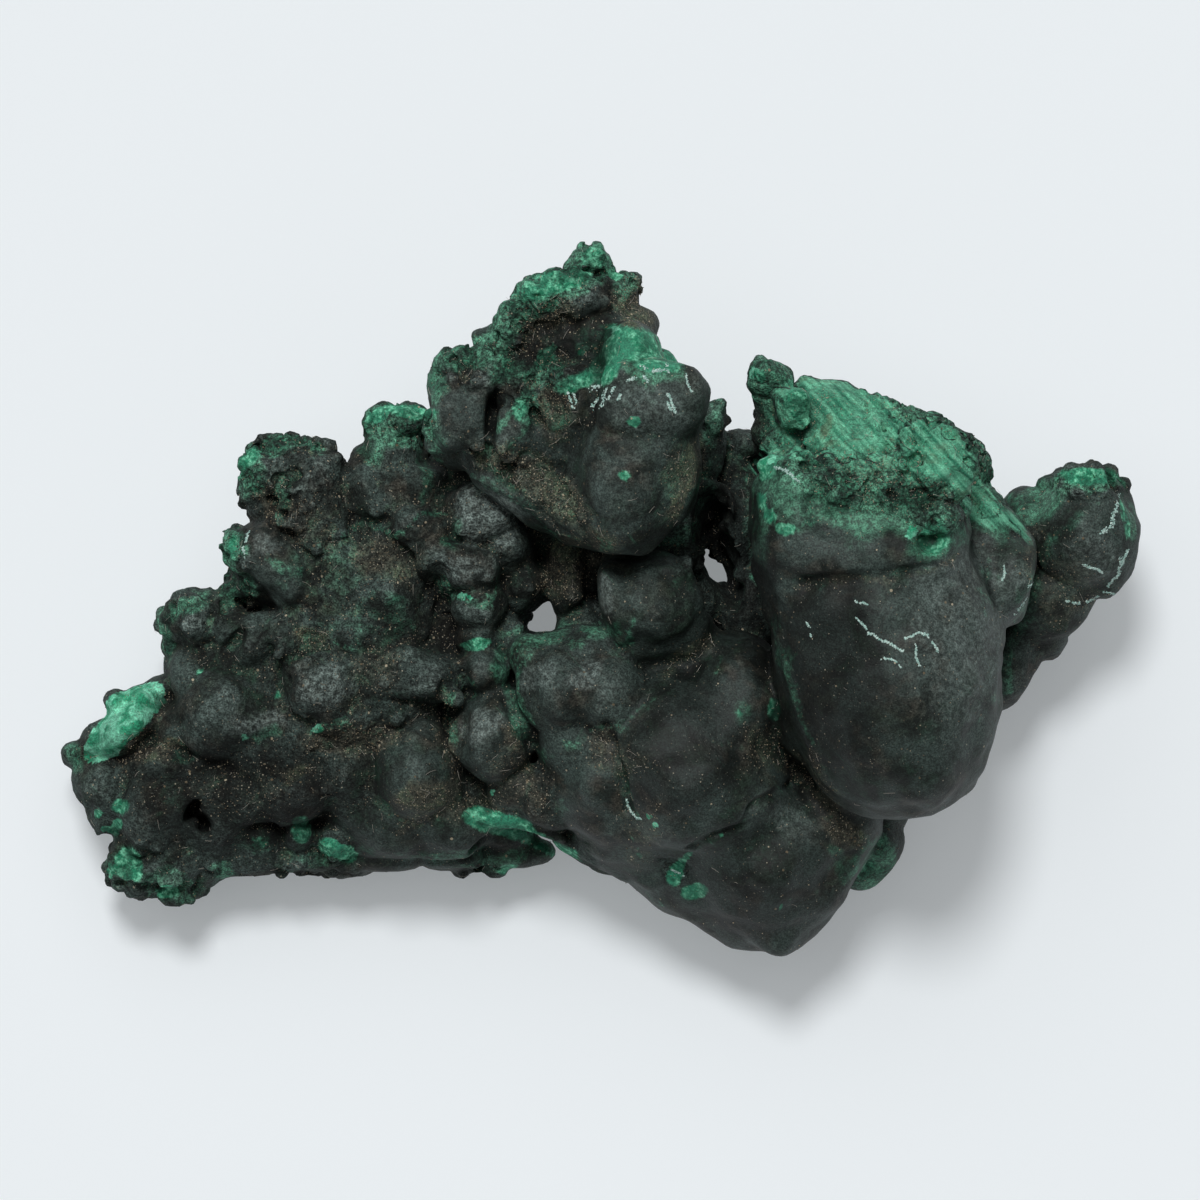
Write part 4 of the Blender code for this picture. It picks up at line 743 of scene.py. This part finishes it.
def top_at(skin, tops, x, y):
    i, j, _ = skin.cells_of(np.array([(x, y, 0.0)]))
    return tops[i[0], j[0]]


def topmost(skin, tops, points):
    """1 on what is seen from above, falling to 0 a few millimetres below it."""
    i, j, _ = skin.cells_of(points)
    return faded(tops[i, j] - points[:, 2], *MARKED_DEPTHS)


def box_blur(values, cells):
    """The mean over a cube of cells, one axis at a time."""
    for axis in range(3):
        padding = [(cells + 1, cells) if a == axis else (0, 0) for a in range(3)]
        sums = np.cumsum(np.pad(values, padding, mode="edge"), axis=axis, dtype=np.float64)
        width = 2 * cells + 1
        upper = [slice(width, None) if a == axis else slice(None) for a in range(3)]
        lower = [slice(None, -width) if a == axis else slice(None) for a in range(3)]
        values = ((sums[tuple(upper)] - sums[tuple(lower)]) / width).astype(np.float32)
    return values


def hollowness(skin, points, reach):
    """From -1 on a sharp crest, by 0 on flat ground, to 1 deep in a hollow, judged over reach."""
    clipped = np.clip(skin.distance, -reach, reach)
    blurred = box_blur(clipped, max(1, round(reach / skin.step)))
    return np.clip(-HOLLOW_GAIN * blurred[skin.cells_of(points)] / reach, -1, 1)


def noise_at(points, size, seed):
    """Smooth noise between about -1 and 1, whose features are size apart."""
    shifted = points / size + seed * 17.3
    return np.array([noise.noise(p) for p in shifted.tolist()])


def wandering(points):
    """The points moved about sideways by smooth noise, so that what is drawn on them has uneven edges."""
    moved = points.copy()
    for axis in range(2):
        for size, reach in WANDER:
            moved[:, axis] += reach * noise_at(points, size, 11 + axis)
    return moved


def patch_level(points, patches):
    """How strongly any of the patches covers each point, seen from above."""
    level = np.zeros(len(points))
    for x, y, half_length, half_width, strength, *turned in patches:
        turn = math.radians(turned[0] if turned else 0)
        cos, sin = math.cos(turn), math.sin(turn)
        dx, dy = points[:, 0] - x, points[:, 1] - y
        away = np.hypot((dx * cos + dy * sin) / half_length, (dy * cos - dx * sin) / half_width)
        level = np.maximum(level, strength * faded(away, *PATCH_EDGE))
    return level


def line_level(points, lines):
    """How strongly any of the lines covers each point, seen from above."""
    level = np.zeros(len(points))
    for half_width, strength, line in lines:
        away = distance_to_line(points, line) / half_width
        level = np.maximum(level, strength * faded(away, *LINE_EDGE))
    return level


def distance_to_line(points, line):
    """How far each point is from a line of straight runs, seen from above."""
    nearest = np.full(len(points), 1e3)
    for start, end in zip(line, line[1:]):
        start, run = np.array(start), np.subtract(end, start)
        along = np.clip((points[:, :2] - start) @ run / (run @ run), 0, 1)
        nearest = np.minimum(nearest, np.linalg.norm(points[:, :2] - start - along[:, None] * run, axis=1))
    return nearest


def mesh_object(name, points, faces):
    mesh = bpy.data.meshes.new(name)
    mesh.from_pydata(points, [], faces)
    mesh.polygons.foreach_set("use_smooth", np.ones(len(mesh.polygons), bool))
    obj = bpy.data.objects.new(name, mesh)
    bpy.context.scene.collection.objects.link(obj)
    return obj


def thin_out(obj, triangles):
    """Merges faces until the mesh has that many triangles, sooner where the skin faces down than up."""
    facing_down = -read_normals(obj.data)[:, 2]
    spare = obj.vertex_groups.new(name="spare")
    for least, weight in SPARE_WEIGHTS:
        spare.add(np.flatnonzero(facing_down > least).tolist(), weight, "REPLACE")
    modifier = obj.modifiers.new("fewer faces", "DECIMATE")
    modifier.vertex_group = spare.name
    modifier.vertex_group_factor = SPARE_FACTOR
    modifier.ratio = min(1.0, triangles / (2 * len(obj.data.polygons)))
    graph = bpy.context.evaluated_depsgraph_get()
    thinned = bpy.data.meshes.new_from_object(obj.evaluated_get(graph))
    obj.modifiers.clear()
    obj.data = thinned


def read_points(mesh):
    points = np.empty(len(mesh.vertices) * 3)
    mesh.vertices.foreach_get("co", points)
    return points.reshape(-1, 3)


def read_normals(mesh):
    normals = np.empty(len(mesh.vertices) * 3)
    mesh.vertices.foreach_get("normal", normals)
    return normals.reshape(-1, 3)


def set_attributes(mesh, levels):
    for name, values in levels.items():
        attribute = mesh.attributes.new(name, "FLOAT", "POINT")
        attribute.data.foreach_set("value", np.ascontiguousarray(values, np.float32))


class Finish:
    """A material with a Principled shader, and short ways to add the nodes that feed it."""

    def __init__(self, name):
        self.material = bpy.data.materials.new(name)
        self.material.use_nodes = True
        self.tree = self.material.node_tree
        self.shader = self.tree.nodes["Principled BSDF"]
        self.place = self.add("ShaderNodeTexCoord").outputs["Object"]

    def add(self, kind, inputs=None, **settings):
        node = self.tree.nodes.new(kind)
        for setting, value in settings.items():
            setattr(node, setting, value)
        for socket, value in (inputs or {}).items():
            self.feed(node, socket, value)
        return node

    def feed(self, node, socket, value):
        if isinstance(value, bpy.types.NodeSocket):
            self.tree.links.new(value, node.inputs[socket])
        else:
            node.inputs[socket].default_value = value

    def attribute(self, name):
        return self.add("ShaderNodeAttribute", attribute_name=name).outputs["Fac"]

    def noise(self, size, detail=2.0, distortion=0.0, place=None):
        """Noise from 0 to 1 whose features are size millimetres apart."""
        place = place or self.place
        values = {"Vector": place, "Scale": 1 / (size * MM), "Detail": detail, "Distortion": distortion}
        return self.add("ShaderNodeTexNoise", values).outputs["Fac"]

    def cells(self, spacing):
        return self.add("ShaderNodeTexVoronoi", {"Vector": self.place, "Scale": 1 / (spacing * MM)}).outputs

    def math(self, operation, *values):
        return self.add("ShaderNodeMath", dict(enumerate(values)), operation=operation).outputs[0]

    def sum(self, a, b):
        return self.math("ADD", a, b)

    def product(self, a, b):
        return self.math("MULTIPLY", a, b)

    def most(self, a, b):
        return self.math("MAXIMUM", a, b)

    def step(self, value, low, high, least=0.0, most=1.0):
        """Rises smoothly from least where value is low to most where it is high."""
        inputs = {"Value": value, "From Min": low, "From Max": high, "To Min": least, "To Max": most}
        return self.add("ShaderNodeMapRange", inputs, interpolation_type="SMOOTHSTEP").outputs["Result"]

    def broken_up(self, level, noise, spread, low=0.4, high=0.6):
        """A level's edge, made ragged by noise: spread says how far the noise moves it."""
        return self.step(self.sum(level, self.math("MULTIPLY_ADD", noise, spread, -spread / 2)), low, high)

    def contrast(self, noise, depth):
        """A factor about 1, which the noise makes up to depth lower or higher."""
        return self.math("MULTIPLY_ADD", self.step(noise, 0.3, 0.7, -1.0, 1.0), depth, 1.0)

    def mixed(self, factor, a, b):
        """A number between a and b."""
        return self.step(factor, 0.0, 1.0, a, b)

    def mix(self, factor, a, b):
        """A colour between a and b."""
        return self.add("ShaderNodeMix", {0: factor, 6: a, 7: b}, data_type="RGBA").outputs[2]

    def scaled(self, tint, factor):
        """A colour made darker or lighter by a factor."""
        grey = self.add("ShaderNodeCombineXYZ", {0: factor, 1: factor, 2: factor}).outputs[0]
        inputs = {0: 1.0, 6: tint, 7: grey}
        return self.add("ShaderNodeMix", inputs, data_type="RGBA", blend_type="MULTIPLY").outputs[2]


def stone_finish():
    """Dark stone under a film with painted sheen, dust, moss green and bright green, each laid over the one
    before, with painted shade in cracks and hollows.
    """
    finish = Finish("malachite")
    noises = [finish.noise(*kind) for kind in (BROAD, COARSE, MIDDLE, FINE, FINEST)]
    crust = finish.attribute("crust")
    dust = finish.broken_up(finish.attribute("dust"), noises[2], 0.8, 0.2, 0.9)
    tint = overgrown(finish, dusted(finish, dust, noises), noises)
    tint, covered = brightened(finish, tint, noises)
    rough = finish.step(crust, 0.05, 0.5)
    bare = finish.step(covered, 0.0, 1.0, 1.0, 0.5)
    grit = finish.step(finish.cells(GRIT_SIZE)["Distance"], 0.35, 0.75)
    cracks = finish.product(grit, finish.product(finish.step(crust, 0.4, 0.8), bare))
    tint = shaded(finish, tint, rough, bare, cracks, noises)
    finish.feed(finish.shader, "Base Color", sprinkled(finish, tint))
    worn = finish.step(crust, 0.1, 0.4, 0.62, 0.9)
    finish.feed(finish.shader, "Roughness", finish.most(worn, finish.product(dust, 0.95)))
    finish.shader.inputs["Specular IOR Level"].default_value = STONE_SPECULAR
    roughen(finish, rough, cracks, noises)
    return finish.material


def dusted(finish, dust, noises):
    """The bare stone's colours, with a pale film and painted sheen on its upward-facing crests and dust where
    it has settled.
    """
    broad, coarse, middle, fine, _ = noises
    dark = finish.mix(finish.step(broad, 0.42, 0.58), UMBER, PINE)
    dark = finish.mix(finish.step(middle, 0.42, 0.62), NIGHT, dark)
    tint = finish.mix(finish.step(coarse, 0.36, 0.64), dark, SLATE)
    # painted sheen and film: upward-facing crests and the pale patches lightened towards ASH
    film_and_sheen = finish.most(finish.attribute("crest"), finish.attribute("pale"))
    film_and_sheen = finish.broken_up(film_and_sheen, middle, 0.7, 0.15, 1.0)
    tint = finish.mix(finish.product(film_and_sheen, finish.step(fine, 0.3, 0.7, 0.35, 0.8)), tint, ASH)
    earth = finish.mix(finish.step(coarse, 0.46, 0.64), SILT, OLIVE)
    return finish.mix(finish.product(dust, finish.step(fine, 0.3, 0.65, 0.35, 0.9)), tint, earth)


def overgrown(finish, tint, noises):
    """The colour with moss green velvet over it, and a firmer green along the green lines."""
    _, coarse, middle, fine, _ = noises
    velvet = finish.broken_up(finish.attribute("velvet"), middle, 0.9, 0.15, 0.95)
    moss = finish.mix(finish.step(middle, 0.35, 0.6), BOTTLE, FIR)
    moss = finish.mix(finish.step(coarse, 0.35, 0.6), moss, SAGE)
    tint = finish.mix(finish.product(velvet, finish.step(fine, 0.3, 0.6, 0.5, 0.95)), tint, moss)
    rim = finish.broken_up(finish.attribute("rim"), fine, 1.3, 0.5, 1.1)
    return finish.mix(finish.product(rim, 0.7), tint, finish.mix(finish.step(middle, 0.4, 0.6), FIR, SAGE))


def brightened(finish, tint, noises):
    """The colour with broken fibres, bright green and mint over it, and how much of it they cover."""
    _, coarse, middle, fine, _ = noises
    drawn_out = fibre_noise(finish)
    fibres = finish.mix(finish.step(drawn_out, 0.3, 0.7), TEAL, VERDIGRIS)
    fibres = finish.mix(finish.step(coarse, 0.52, 0.66, 0.0, 0.75), fibres, OLIVE)
    fibrous = finish.broken_up(finish.attribute("fibrous"), drawn_out, 1.2, 0.2, 0.8)
    tint = finish.mix(fibrous, tint, fibres)
    green = finish.broken_up(finish.attribute("green"), finish.mixed(0.4, middle, fine), 0.9, 0.32, 0.75)
    leaf = finish.mix(finish.step(coarse, 0.36, 0.6), FIR, TEAL)
    bright = finish.mix(finish.step(fine, 0.4, 0.65), EMERALD, VERDIGRIS)
    tint = finish.mix(green, tint, finish.mix(finish.step(middle, 0.4, 0.62), leaf, bright))
    mint = finish.broken_up(finish.attribute("mint"), fine, 0.6, 0.4, 0.6)
    tint = finish.mix(mint, tint, finish.mix(finish.step(middle, 0.4, 0.62), MINT_LIGHT, EMERALD))
    return tint, finish.most(fibrous, finish.most(green, mint))


def shaded(finish, tint, rough, bare, cracks, noises):
    """The colour made uneven at three grains, with painted shade in cracks and hollows and partly in the dark
    patches.
    """
    _, coarse, _, fine, finest = noises
    # painted shade: the cracks between the crumbs darkened, the crumbs' middles a little lighter
    tint = finish.scaled(tint, finish.step(cracks, 0.0, 1.0, 1.08, 0.6))
    tint = finish.scaled(tint, finish.contrast(coarse, finish.mixed(rough, 0.13, 0.24)))
    tint = finish.scaled(tint, finish.contrast(fine, finish.product(bare, finish.mixed(rough, 0.26, 0.5))))
    tint = finish.scaled(tint, finish.contrast(finest, finish.product(bare, finish.mixed(rough, 0.45, 0.6))))
    # painted shade: hollows darkened down to a quarter
    tint = finish.scaled(tint, finish.step(finish.attribute("hollow"), 0.1, 0.8, 1.0, 0.25))
    # partly painted shade, partly darker stone: the listed patches darkened to about a third
    return finish.scaled(tint, finish.step(finish.attribute("dark"), 0.0, 1.0, 1.0, 0.35))


def fibre_noise(finish):
    """Noise drawn out along the broken top's fibres."""
    turn = (0, 0, -math.radians(FIBRE_TURN))
    turned = finish.add("ShaderNodeMapping", {"Vector": finish.place, "Rotation": turn}).outputs[0]
    squeezed = finish.add("ShaderNodeVectorMath", {0: turned, 1: FIBRE_SQUEEZE}, operation="MULTIPLY")
    return finish.noise(*FINE, place=squeezed.outputs[0])


def sprinkled(finish, tint):
    """The colour with specks of dust and fine sand, many where dust lies and a few elsewhere."""
    for spacing, least, most, plain, darker, lighter in SPECKS:
        cells = finish.cells(spacing)
        chance = finish.add("ShaderNodeSeparateColor", {0: cells["Color"]}).outputs
        wanted = finish.step(finish.attribute("sand"), 0.0, 1.0, least, most)
        here = finish.math("LESS_THAN", chance[0], wanted)
        near = finish.math("LESS_THAN", cells["Distance"], finish.step(chance[2], 0.0, 1.0, 0.2, 0.42))
        speck = finish.mix(finish.step(chance[1], 0.3, 1.0), darker, lighter)
        tint = finish.mix(finish.product(here, finish.product(near, plain)), tint, speck)
    return tint


def roughen(finish, rough, cracks, noises):
    """Crumbs and cracks too small for the mesh, told to the light only."""
    _, _, middle, fine, finest = noises
    crumbs = finish.sum(finish.product(fine, 0.6), finish.product(finest, 0.3))
    crumbs = finish.sum(finish.product(middle, 0.8), crumbs)
    relief = finish.product(crumbs, finish.mixed(rough, 0.22, 1.0))
    relief = finish.sum(relief, finish.product(cracks, -0.5))
    inputs = {"Height": relief, "Strength": BUMP_STRENGTH, "Distance": BUMP_HEIGHT * MM}
    finish.feed(finish.shader, "Normal", finish.add("ShaderNodeBump", inputs).outputs["Normal"])


def make_stone(skin, tops):
    """The stone as one piece, with its points, their normals and how sandy the ground is at each."""
    points, faces = skin.polygons()
    obj = mesh_object("stone", points.tolist(), faces.tolist())
    thin_out(obj, STONE_TRIANGLES)
    points, normals = read_points(obj.data), read_normals(obj.data)
    upper = topmost(skin, tops, points) * risen(normals[:, 2], *MARKED_SLOPES)
    crust = np.clip(skin.crust[skin.cells_of(points)], 0, 1)
    crust = np.maximum(crust, patch_level(points, SPONGY) * upper)
    crust = np.maximum(crust, FOOT_CRUST * faded(points[:, 2], *FOOT_HEIGHTS))
    points += normals * last_relief(points, crust, upper)[:, None]
    points[:, 2] = np.maximum(points[:, 2], 0)
    obj.data.vertices.foreach_set("co", points.ravel())
    levels = marking_levels(skin, points, normals, crust, upper)
    set_attributes(obj.data, levels)
    obj.data.materials.append(stone_finish())
    return obj, points, normals, levels["sand"]


def last_relief(points, crust, upper):
    """How far the skin stands out at each point: undulations, crumbs, and the broken top's fibres."""
    share = SATIN_SHARE + (1 - SATIN_SHARE) * crust
    height = sum(share * tall * noise_at(points, size, seed) for seed, (size, tall) in enumerate(SWELLING))
    crumbly = np.clip(1.4 * crust - 0.2, 0, 1)
    for number, (size, tall) in enumerate(CRUMBS):
        height += tall * crumbly * (2.4 * np.abs(noise_at(points, size, 30 + number)) - 0.6)
    height += FIBRE_HEIGHT * patch_level(points, FIBROUS) * upper * fibre_relief(points)
    return height * risen(points[:, 2], 0.0, FLAT_FOOT)


def fibre_relief(points):
    """Noise drawn out along the broken top's fibres, at each point."""
    turn = math.radians(FIBRE_TURN)
    along = points[:, 0] * math.cos(turn) + points[:, 1] * math.sin(turn)
    across = points[:, 1] * math.cos(turn) - points[:, 0] * math.sin(turn)
    drawn = np.stack([along / FIBRE_LENGTH, across / FIBRE_WIDTH, points[:, 2] / FIBRE_LENGTH], axis=1)
    return noise_at(drawn, 1.0, 3) + 0.5 * noise_at(drawn, 0.4, 4)


def marking_levels(skin, points, normals, crust, upper):
    """How strongly each marking covers each point, which is what the stone's finish reads."""
    hollow, creased = hollowness(skin, points, HOLLOW_REACH), hollowness(skin, points, CREASE_REACH)
    flatness = risen(normals[:, 2], *SETTLED_SLOPES)
    patchy = sum(share * noise_at(points, size, 7 + number) for number, (size, share) in enumerate(PATCHY))
    unseen = 1 - upper
    drawn = wandering(points)
    barely_drawn = points + SLIGHT_WANDER * (drawn - points)

    lines = line_level(drawn, GREEN_LINES) * upper
    velvet = np.maximum(0.5 * lines, patch_level(drawn, MOSS)) * upper
    velvet = np.maximum(velvet, 0.5 * np.clip(1.6 * creased, 0, 1) * np.clip(0.7 + 0.6 * patchy, 0, 1))
    velvet = np.maximum(velvet, unseen * np.clip(0.4 + 0.6 * patchy, 0, 1) * (0.35 + crust))
    green = np.maximum(patch_level(barely_drawn, GREEN), line_level(points, BLADE_LINE)) * upper
    green = np.maximum(green, unseen * np.clip(1.2 * patchy - 0.35, 0, 1) * (0.2 + crust))
    settled = np.clip(0.15 + np.maximum(hollow, creased), 0, 1) * flatness * (0.2 + crust)
    dust = np.maximum(np.maximum(patch_level(drawn, DUST), line_level(drawn, DUST_LINES)) * upper, settled)
    sandy = np.clip(dust + 0.2 * crust, 0, 1) * risen(normals[:, 2], *SANDY_SLOPES)
    return {
        "crust": crust,
        # hollow: read by the finish as painted shade
        "hollow": np.clip(hollow, 0, 1),
        # crest and pale: lightened by the finish, partly a grey film and partly painted sheen
        "crest": np.clip(-hollow, 0, 1) * (0.3 + crust) * flatness,
        "pale": patch_level(drawn, PALE_FILM_AND_SHEEN) * upper,
        "velvet": velvet,
        "rim": lines,
        "green": green,
        "fibrous": patch_level(drawn, FIBROUS) * upper,
        "mint": patch_level(barely_drawn, MINT) * upper,
        # dark: partly painted shade in clefts and on shaded sides, partly darker stone
        "dark": patch_level(drawn, DARK_AND_SHADE) * upper,
        "dust": dust,
        "sand": sandy * (1 - 0.8 * green),
    }


def pick_points(points, chance, count):
    """Some of the points, each as likely as its chance says."""
    return RANDOM.choice(len(points), size=count, replace=False, p=chance / chance.sum())


def make_crystals(name, centres, upward, sizes, flatness, tones, darker, lighter):
    """Many tiny irregular eight-sided crystals as one piece, each pressed flat along its upward direction."""
    corners = np.array([(1, 0, 0), (-1, 0, 0), (0, 1, 0), (0, -1, 0), (0, 0, 1), (0, 0, -1)], float)
    sides = np.array([(0, 2, 4), (2, 1, 4), (1, 3, 4), (3, 0, 4), (2, 0, 5), (1, 2, 5), (3, 1, 5), (0, 3, 5)])
    shapes = corners * RANDOM.uniform(0.6, 1.3, size=(len(centres), 6, 1)) * sizes[:, None, None]
    turns, _ = np.linalg.qr(RANDOM.normal(size=(len(centres), 3, 3)))
    shapes = shapes @ turns
    heights = np.einsum("ijk,ik->ij", shapes, upward)
    shapes -= flatness * heights[:, :, None] * upward[:, None, :]
    corner_points = (shapes + centres[:, None, :]).reshape(-1, 3)
    faces = (sides[None] + 6 * np.arange(len(centres))[:, None, None]).reshape(-1, 3)
    obj = mesh_object(name, corner_points.tolist(), faces.tolist())
    set_attributes(obj.data, {"tone": np.repeat(tones, 6)})
    finish = Finish(name)
    tint = finish.mix(finish.step(finish.attribute("tone"), 0.2, 0.9), darker, lighter)
    tint = finish.scaled(tint, finish.step(finish.noise(0.08), 0.3, 0.7, 0.7, 1.2))
    finish.feed(finish.shader, "Base Color", tint)
    finish.shader.inputs["Roughness"].default_value = 0.5
    obj.data.materials.append(finish.material)
    return obj


def make_sand(points, normals, sand):
    """Grains of sand lying where dust has settled."""
    chosen = pick_points(points, sand**2 + GRAIN_CHANCE, GRAIN_COUNT)
    sizes = RANDOM.uniform(*GRAIN_SIZE, size=GRAIN_COUNT)
    centres = points[chosen] + normals[chosen] * sizes[:, None] * 0.5
    tones = RANDOM.random(GRAIN_COUNT)
    return make_crystals("sand_grains", centres, normals[chosen], sizes, 0.0, tones, SAND_DARK, SAND_LIGHT)


def make_chalk(stone_mesh):
    """Chalky flecks and scratches, lying on the skin along the lines that they follow from above."""
    faces = [tuple(polygon.vertices) for polygon in stone_mesh.polygons]
    tree = BVHTree.FromPolygons(read_points(stone_mesh).tolist(), faces)
    down = Vector((0, 0, -1))
    centres, upward = [], []
    for half_width, strength, line in CHALK_LINES:
        for x, y in evenly(line, CHALK_SPACING):
            drift = CHALK_DRIFT * noise.noise((x, y, 0)), CHALK_DRIFT * noise.noise((x, y, 9))
            offset = drift + RANDOM.normal(scale=half_width / 2, size=2)
            gaps = noise.noise((CHALK_GAP_RATE * x, CHALK_GAP_RATE * y, 5))
            kept = RANDOM.random() < strength * risen(gaps, *CHALK_GAPS)
            place, normal, _, _ = tree.ray_cast(Vector((x + offset[0], y + offset[1], GRID_HIGH[2])), down)
            if kept and place:
                centres.append(place)
                upward.append(normal)
    sizes = RANDOM.uniform(*CHALK_SIZE, size=len(centres))
    tones = RANDOM.random(len(centres))
    centres, upward = np.array(centres), np.array(upward)
    return make_crystals("chalk_flecks", centres, upward, sizes, CHALK_FLATNESS, tones, CHALK, CHALK_LIGHT)


def make_lint(points, normals, sand):
    """Short pale fibres caught on the rough ground, each one a thin bent tube."""
    lint_points, lint_faces = [], []
    for index in pick_points(points, sand + LINT_CHANCE, LINT_COUNT):
        length = RANDOM.uniform(*LINT_LENGTH)
        heading = np.cross(normals[index], RANDOM.normal(size=3))
        heading /= np.linalg.norm(heading)
        sideways = np.cross(normals[index], heading)
        bend = sideways * RANDOM.uniform(-LINT_BEND, LINT_BEND)
        lift = normals[index] * RANDOM.uniform(*LINT_LIFT)
        first = len(lint_points)
        for run in range(LINT_RUNS + 1):
            t = run / LINT_RUNS
            centre = points[index] + length * (heading * (t - 0.5) + bend * t * t + lift * t * (1 - 0.4 * t))
            for side in range(LINT_SIDES):
                turn = math.tau * side / LINT_SIDES
                ring = normals[index] * math.cos(turn) + sideways * math.sin(turn)
                lint_points.append((centre + ring * LINT_RADIUS).tolist())
        for run in range(LINT_RUNS):
            low, high = first + LINT_SIDES * run, first + LINT_SIDES * (run + 1)
            for side in range(LINT_SIDES):
                after = (side + 1) % LINT_SIDES
                lint_faces.append([low + side, low + after, high + after, high + side])
        lint_faces.append([first + side for side in reversed(range(LINT_SIDES))])
        lint_faces.append([high + side for side in range(LINT_SIDES)])
    obj = mesh_object("lint", lint_points, lint_faces)
    finish = Finish("lint")
    finish.feed(finish.shader, "Base Color", finish.mix(finish.noise(0.6), LINT_DARK, LINT_LIGHT))
    finish.shader.inputs["Roughness"].default_value = 0.7
    obj.data.materials.append(finish.material)
    return obj


def settle(pieces, cad_box):
    """Turns the pieces into metres, with the stone's box over the middle of the solid's."""
    points = read_points(pieces[0].data)
    low, high = points.min(axis=0), points.max(axis=0)
    cad_low, cad_high = np.array(cad_box[0]), np.array(cad_box[1])
    shift = (cad_low + cad_high) / 2 - (low + high) / 2 * MM
    shift[2] = 0
    for piece in pieces:
        moved = read_points(piece.data) * MM + shift
        piece.data.vertices.foreach_set("co", moved.ravel())
        piece.data.update()
    return shift


def make_floor():
    """A sheet of pale paper under the stone, which glows a little as painted light."""
    half = FLOOR_WIDTH * MM / 2
    corners = [(-half, -half, 0), (half, -half, 0), (half, half, 0), (-half, half, 0)]
    floor = mesh_object("floor", corners, [(0, 1, 2, 3)])
    finish = Finish("paper")
    finish.shader.inputs["Base Color"].default_value = FLOOR_COLOUR
    finish.shader.inputs["Roughness"].default_value = 1.0
    finish.shader.inputs["Specular IOR Level"].default_value = 0.0
    # painted light: the paper glows in its own colour, so shadows on it stay pale
    finish.shader.inputs["Emission Color"].default_value = FLOOR_COLOUR
    finish.shader.inputs["Emission Strength"].default_value = FLOOR_GLOW
    floor.data.materials.append(finish.material)
    return floor


def add_lamp(name, comes_from, spread, strength):
    """A lamp so far off that it lights the floor evenly: the wider its spread, the softer its shadows."""
    lamp = bpy.data.lights.new(name, "SUN")
    lamp.energy = strength
    lamp.angle = math.radians(spread)
    obj = bpy.data.objects.new(name, lamp)
    bpy.context.scene.collection.objects.link(obj)
    obj.rotation_mode = "QUATERNION"
    obj.rotation_quaternion = Vector(comes_from).to_track_quat("Z", "Y")


def light_studio():
    """The lamps and the even light all round."""
    for lamp in LAMPS:
        add_lamp(*lamp)
    world = bpy.data.worlds.new("studio")
    world.use_nodes = True
    world.node_tree.nodes["Background"].inputs["Color"].default_value = FILL_COLOUR
    world.node_tree.nodes["Background"].inputs["Strength"].default_value = FILL_STRENGTH
    bpy.context.scene.world = world
    bpy.context.scene.view_settings.view_transform = "Standard"


def aim_camera(shift):
    """A camera straight above, over the lists' own (0, 0)."""
    camera = bpy.data.cameras.new("camera")
    camera.sensor_width = SENSOR_WIDTH
    camera.lens = SENSOR_WIDTH * (CAMERA_HEIGHT - MIDDLE_HEIGHT) / PICTURE_WIDTH
    camera.clip_end = CAMERA_SIGHT
    obj = bpy.data.objects.new("camera", camera)
    bpy.context.scene.collection.objects.link(obj)
    obj.location = (shift[0], shift[1], CAMERA_HEIGHT * MM)
    bpy.context.scene.camera = obj


def clear_startup():
    for obj in list(bpy.data.objects):
        bpy.data.objects.remove(obj, do_unlink=True)


clear_startup()
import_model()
cad_box = [list(corner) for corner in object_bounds()]
skin = stone_skin()
tops = skin.tops()
stone, points, normals, sand = make_stone(skin, tops)
grains = make_sand(points, normals, sand)
lint = make_lint(points, normals, sand)
flecks = make_chalk(stone.data)
shift = settle([stone, grains, lint, flecks], cad_box)
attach(stone, BODY_NAME)
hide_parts(STONE_NODE)
for extra in (grains, lint, flecks):
    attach(extra, BODY_NAME)
make_floor()
light_studio()
aim_camera(shift)
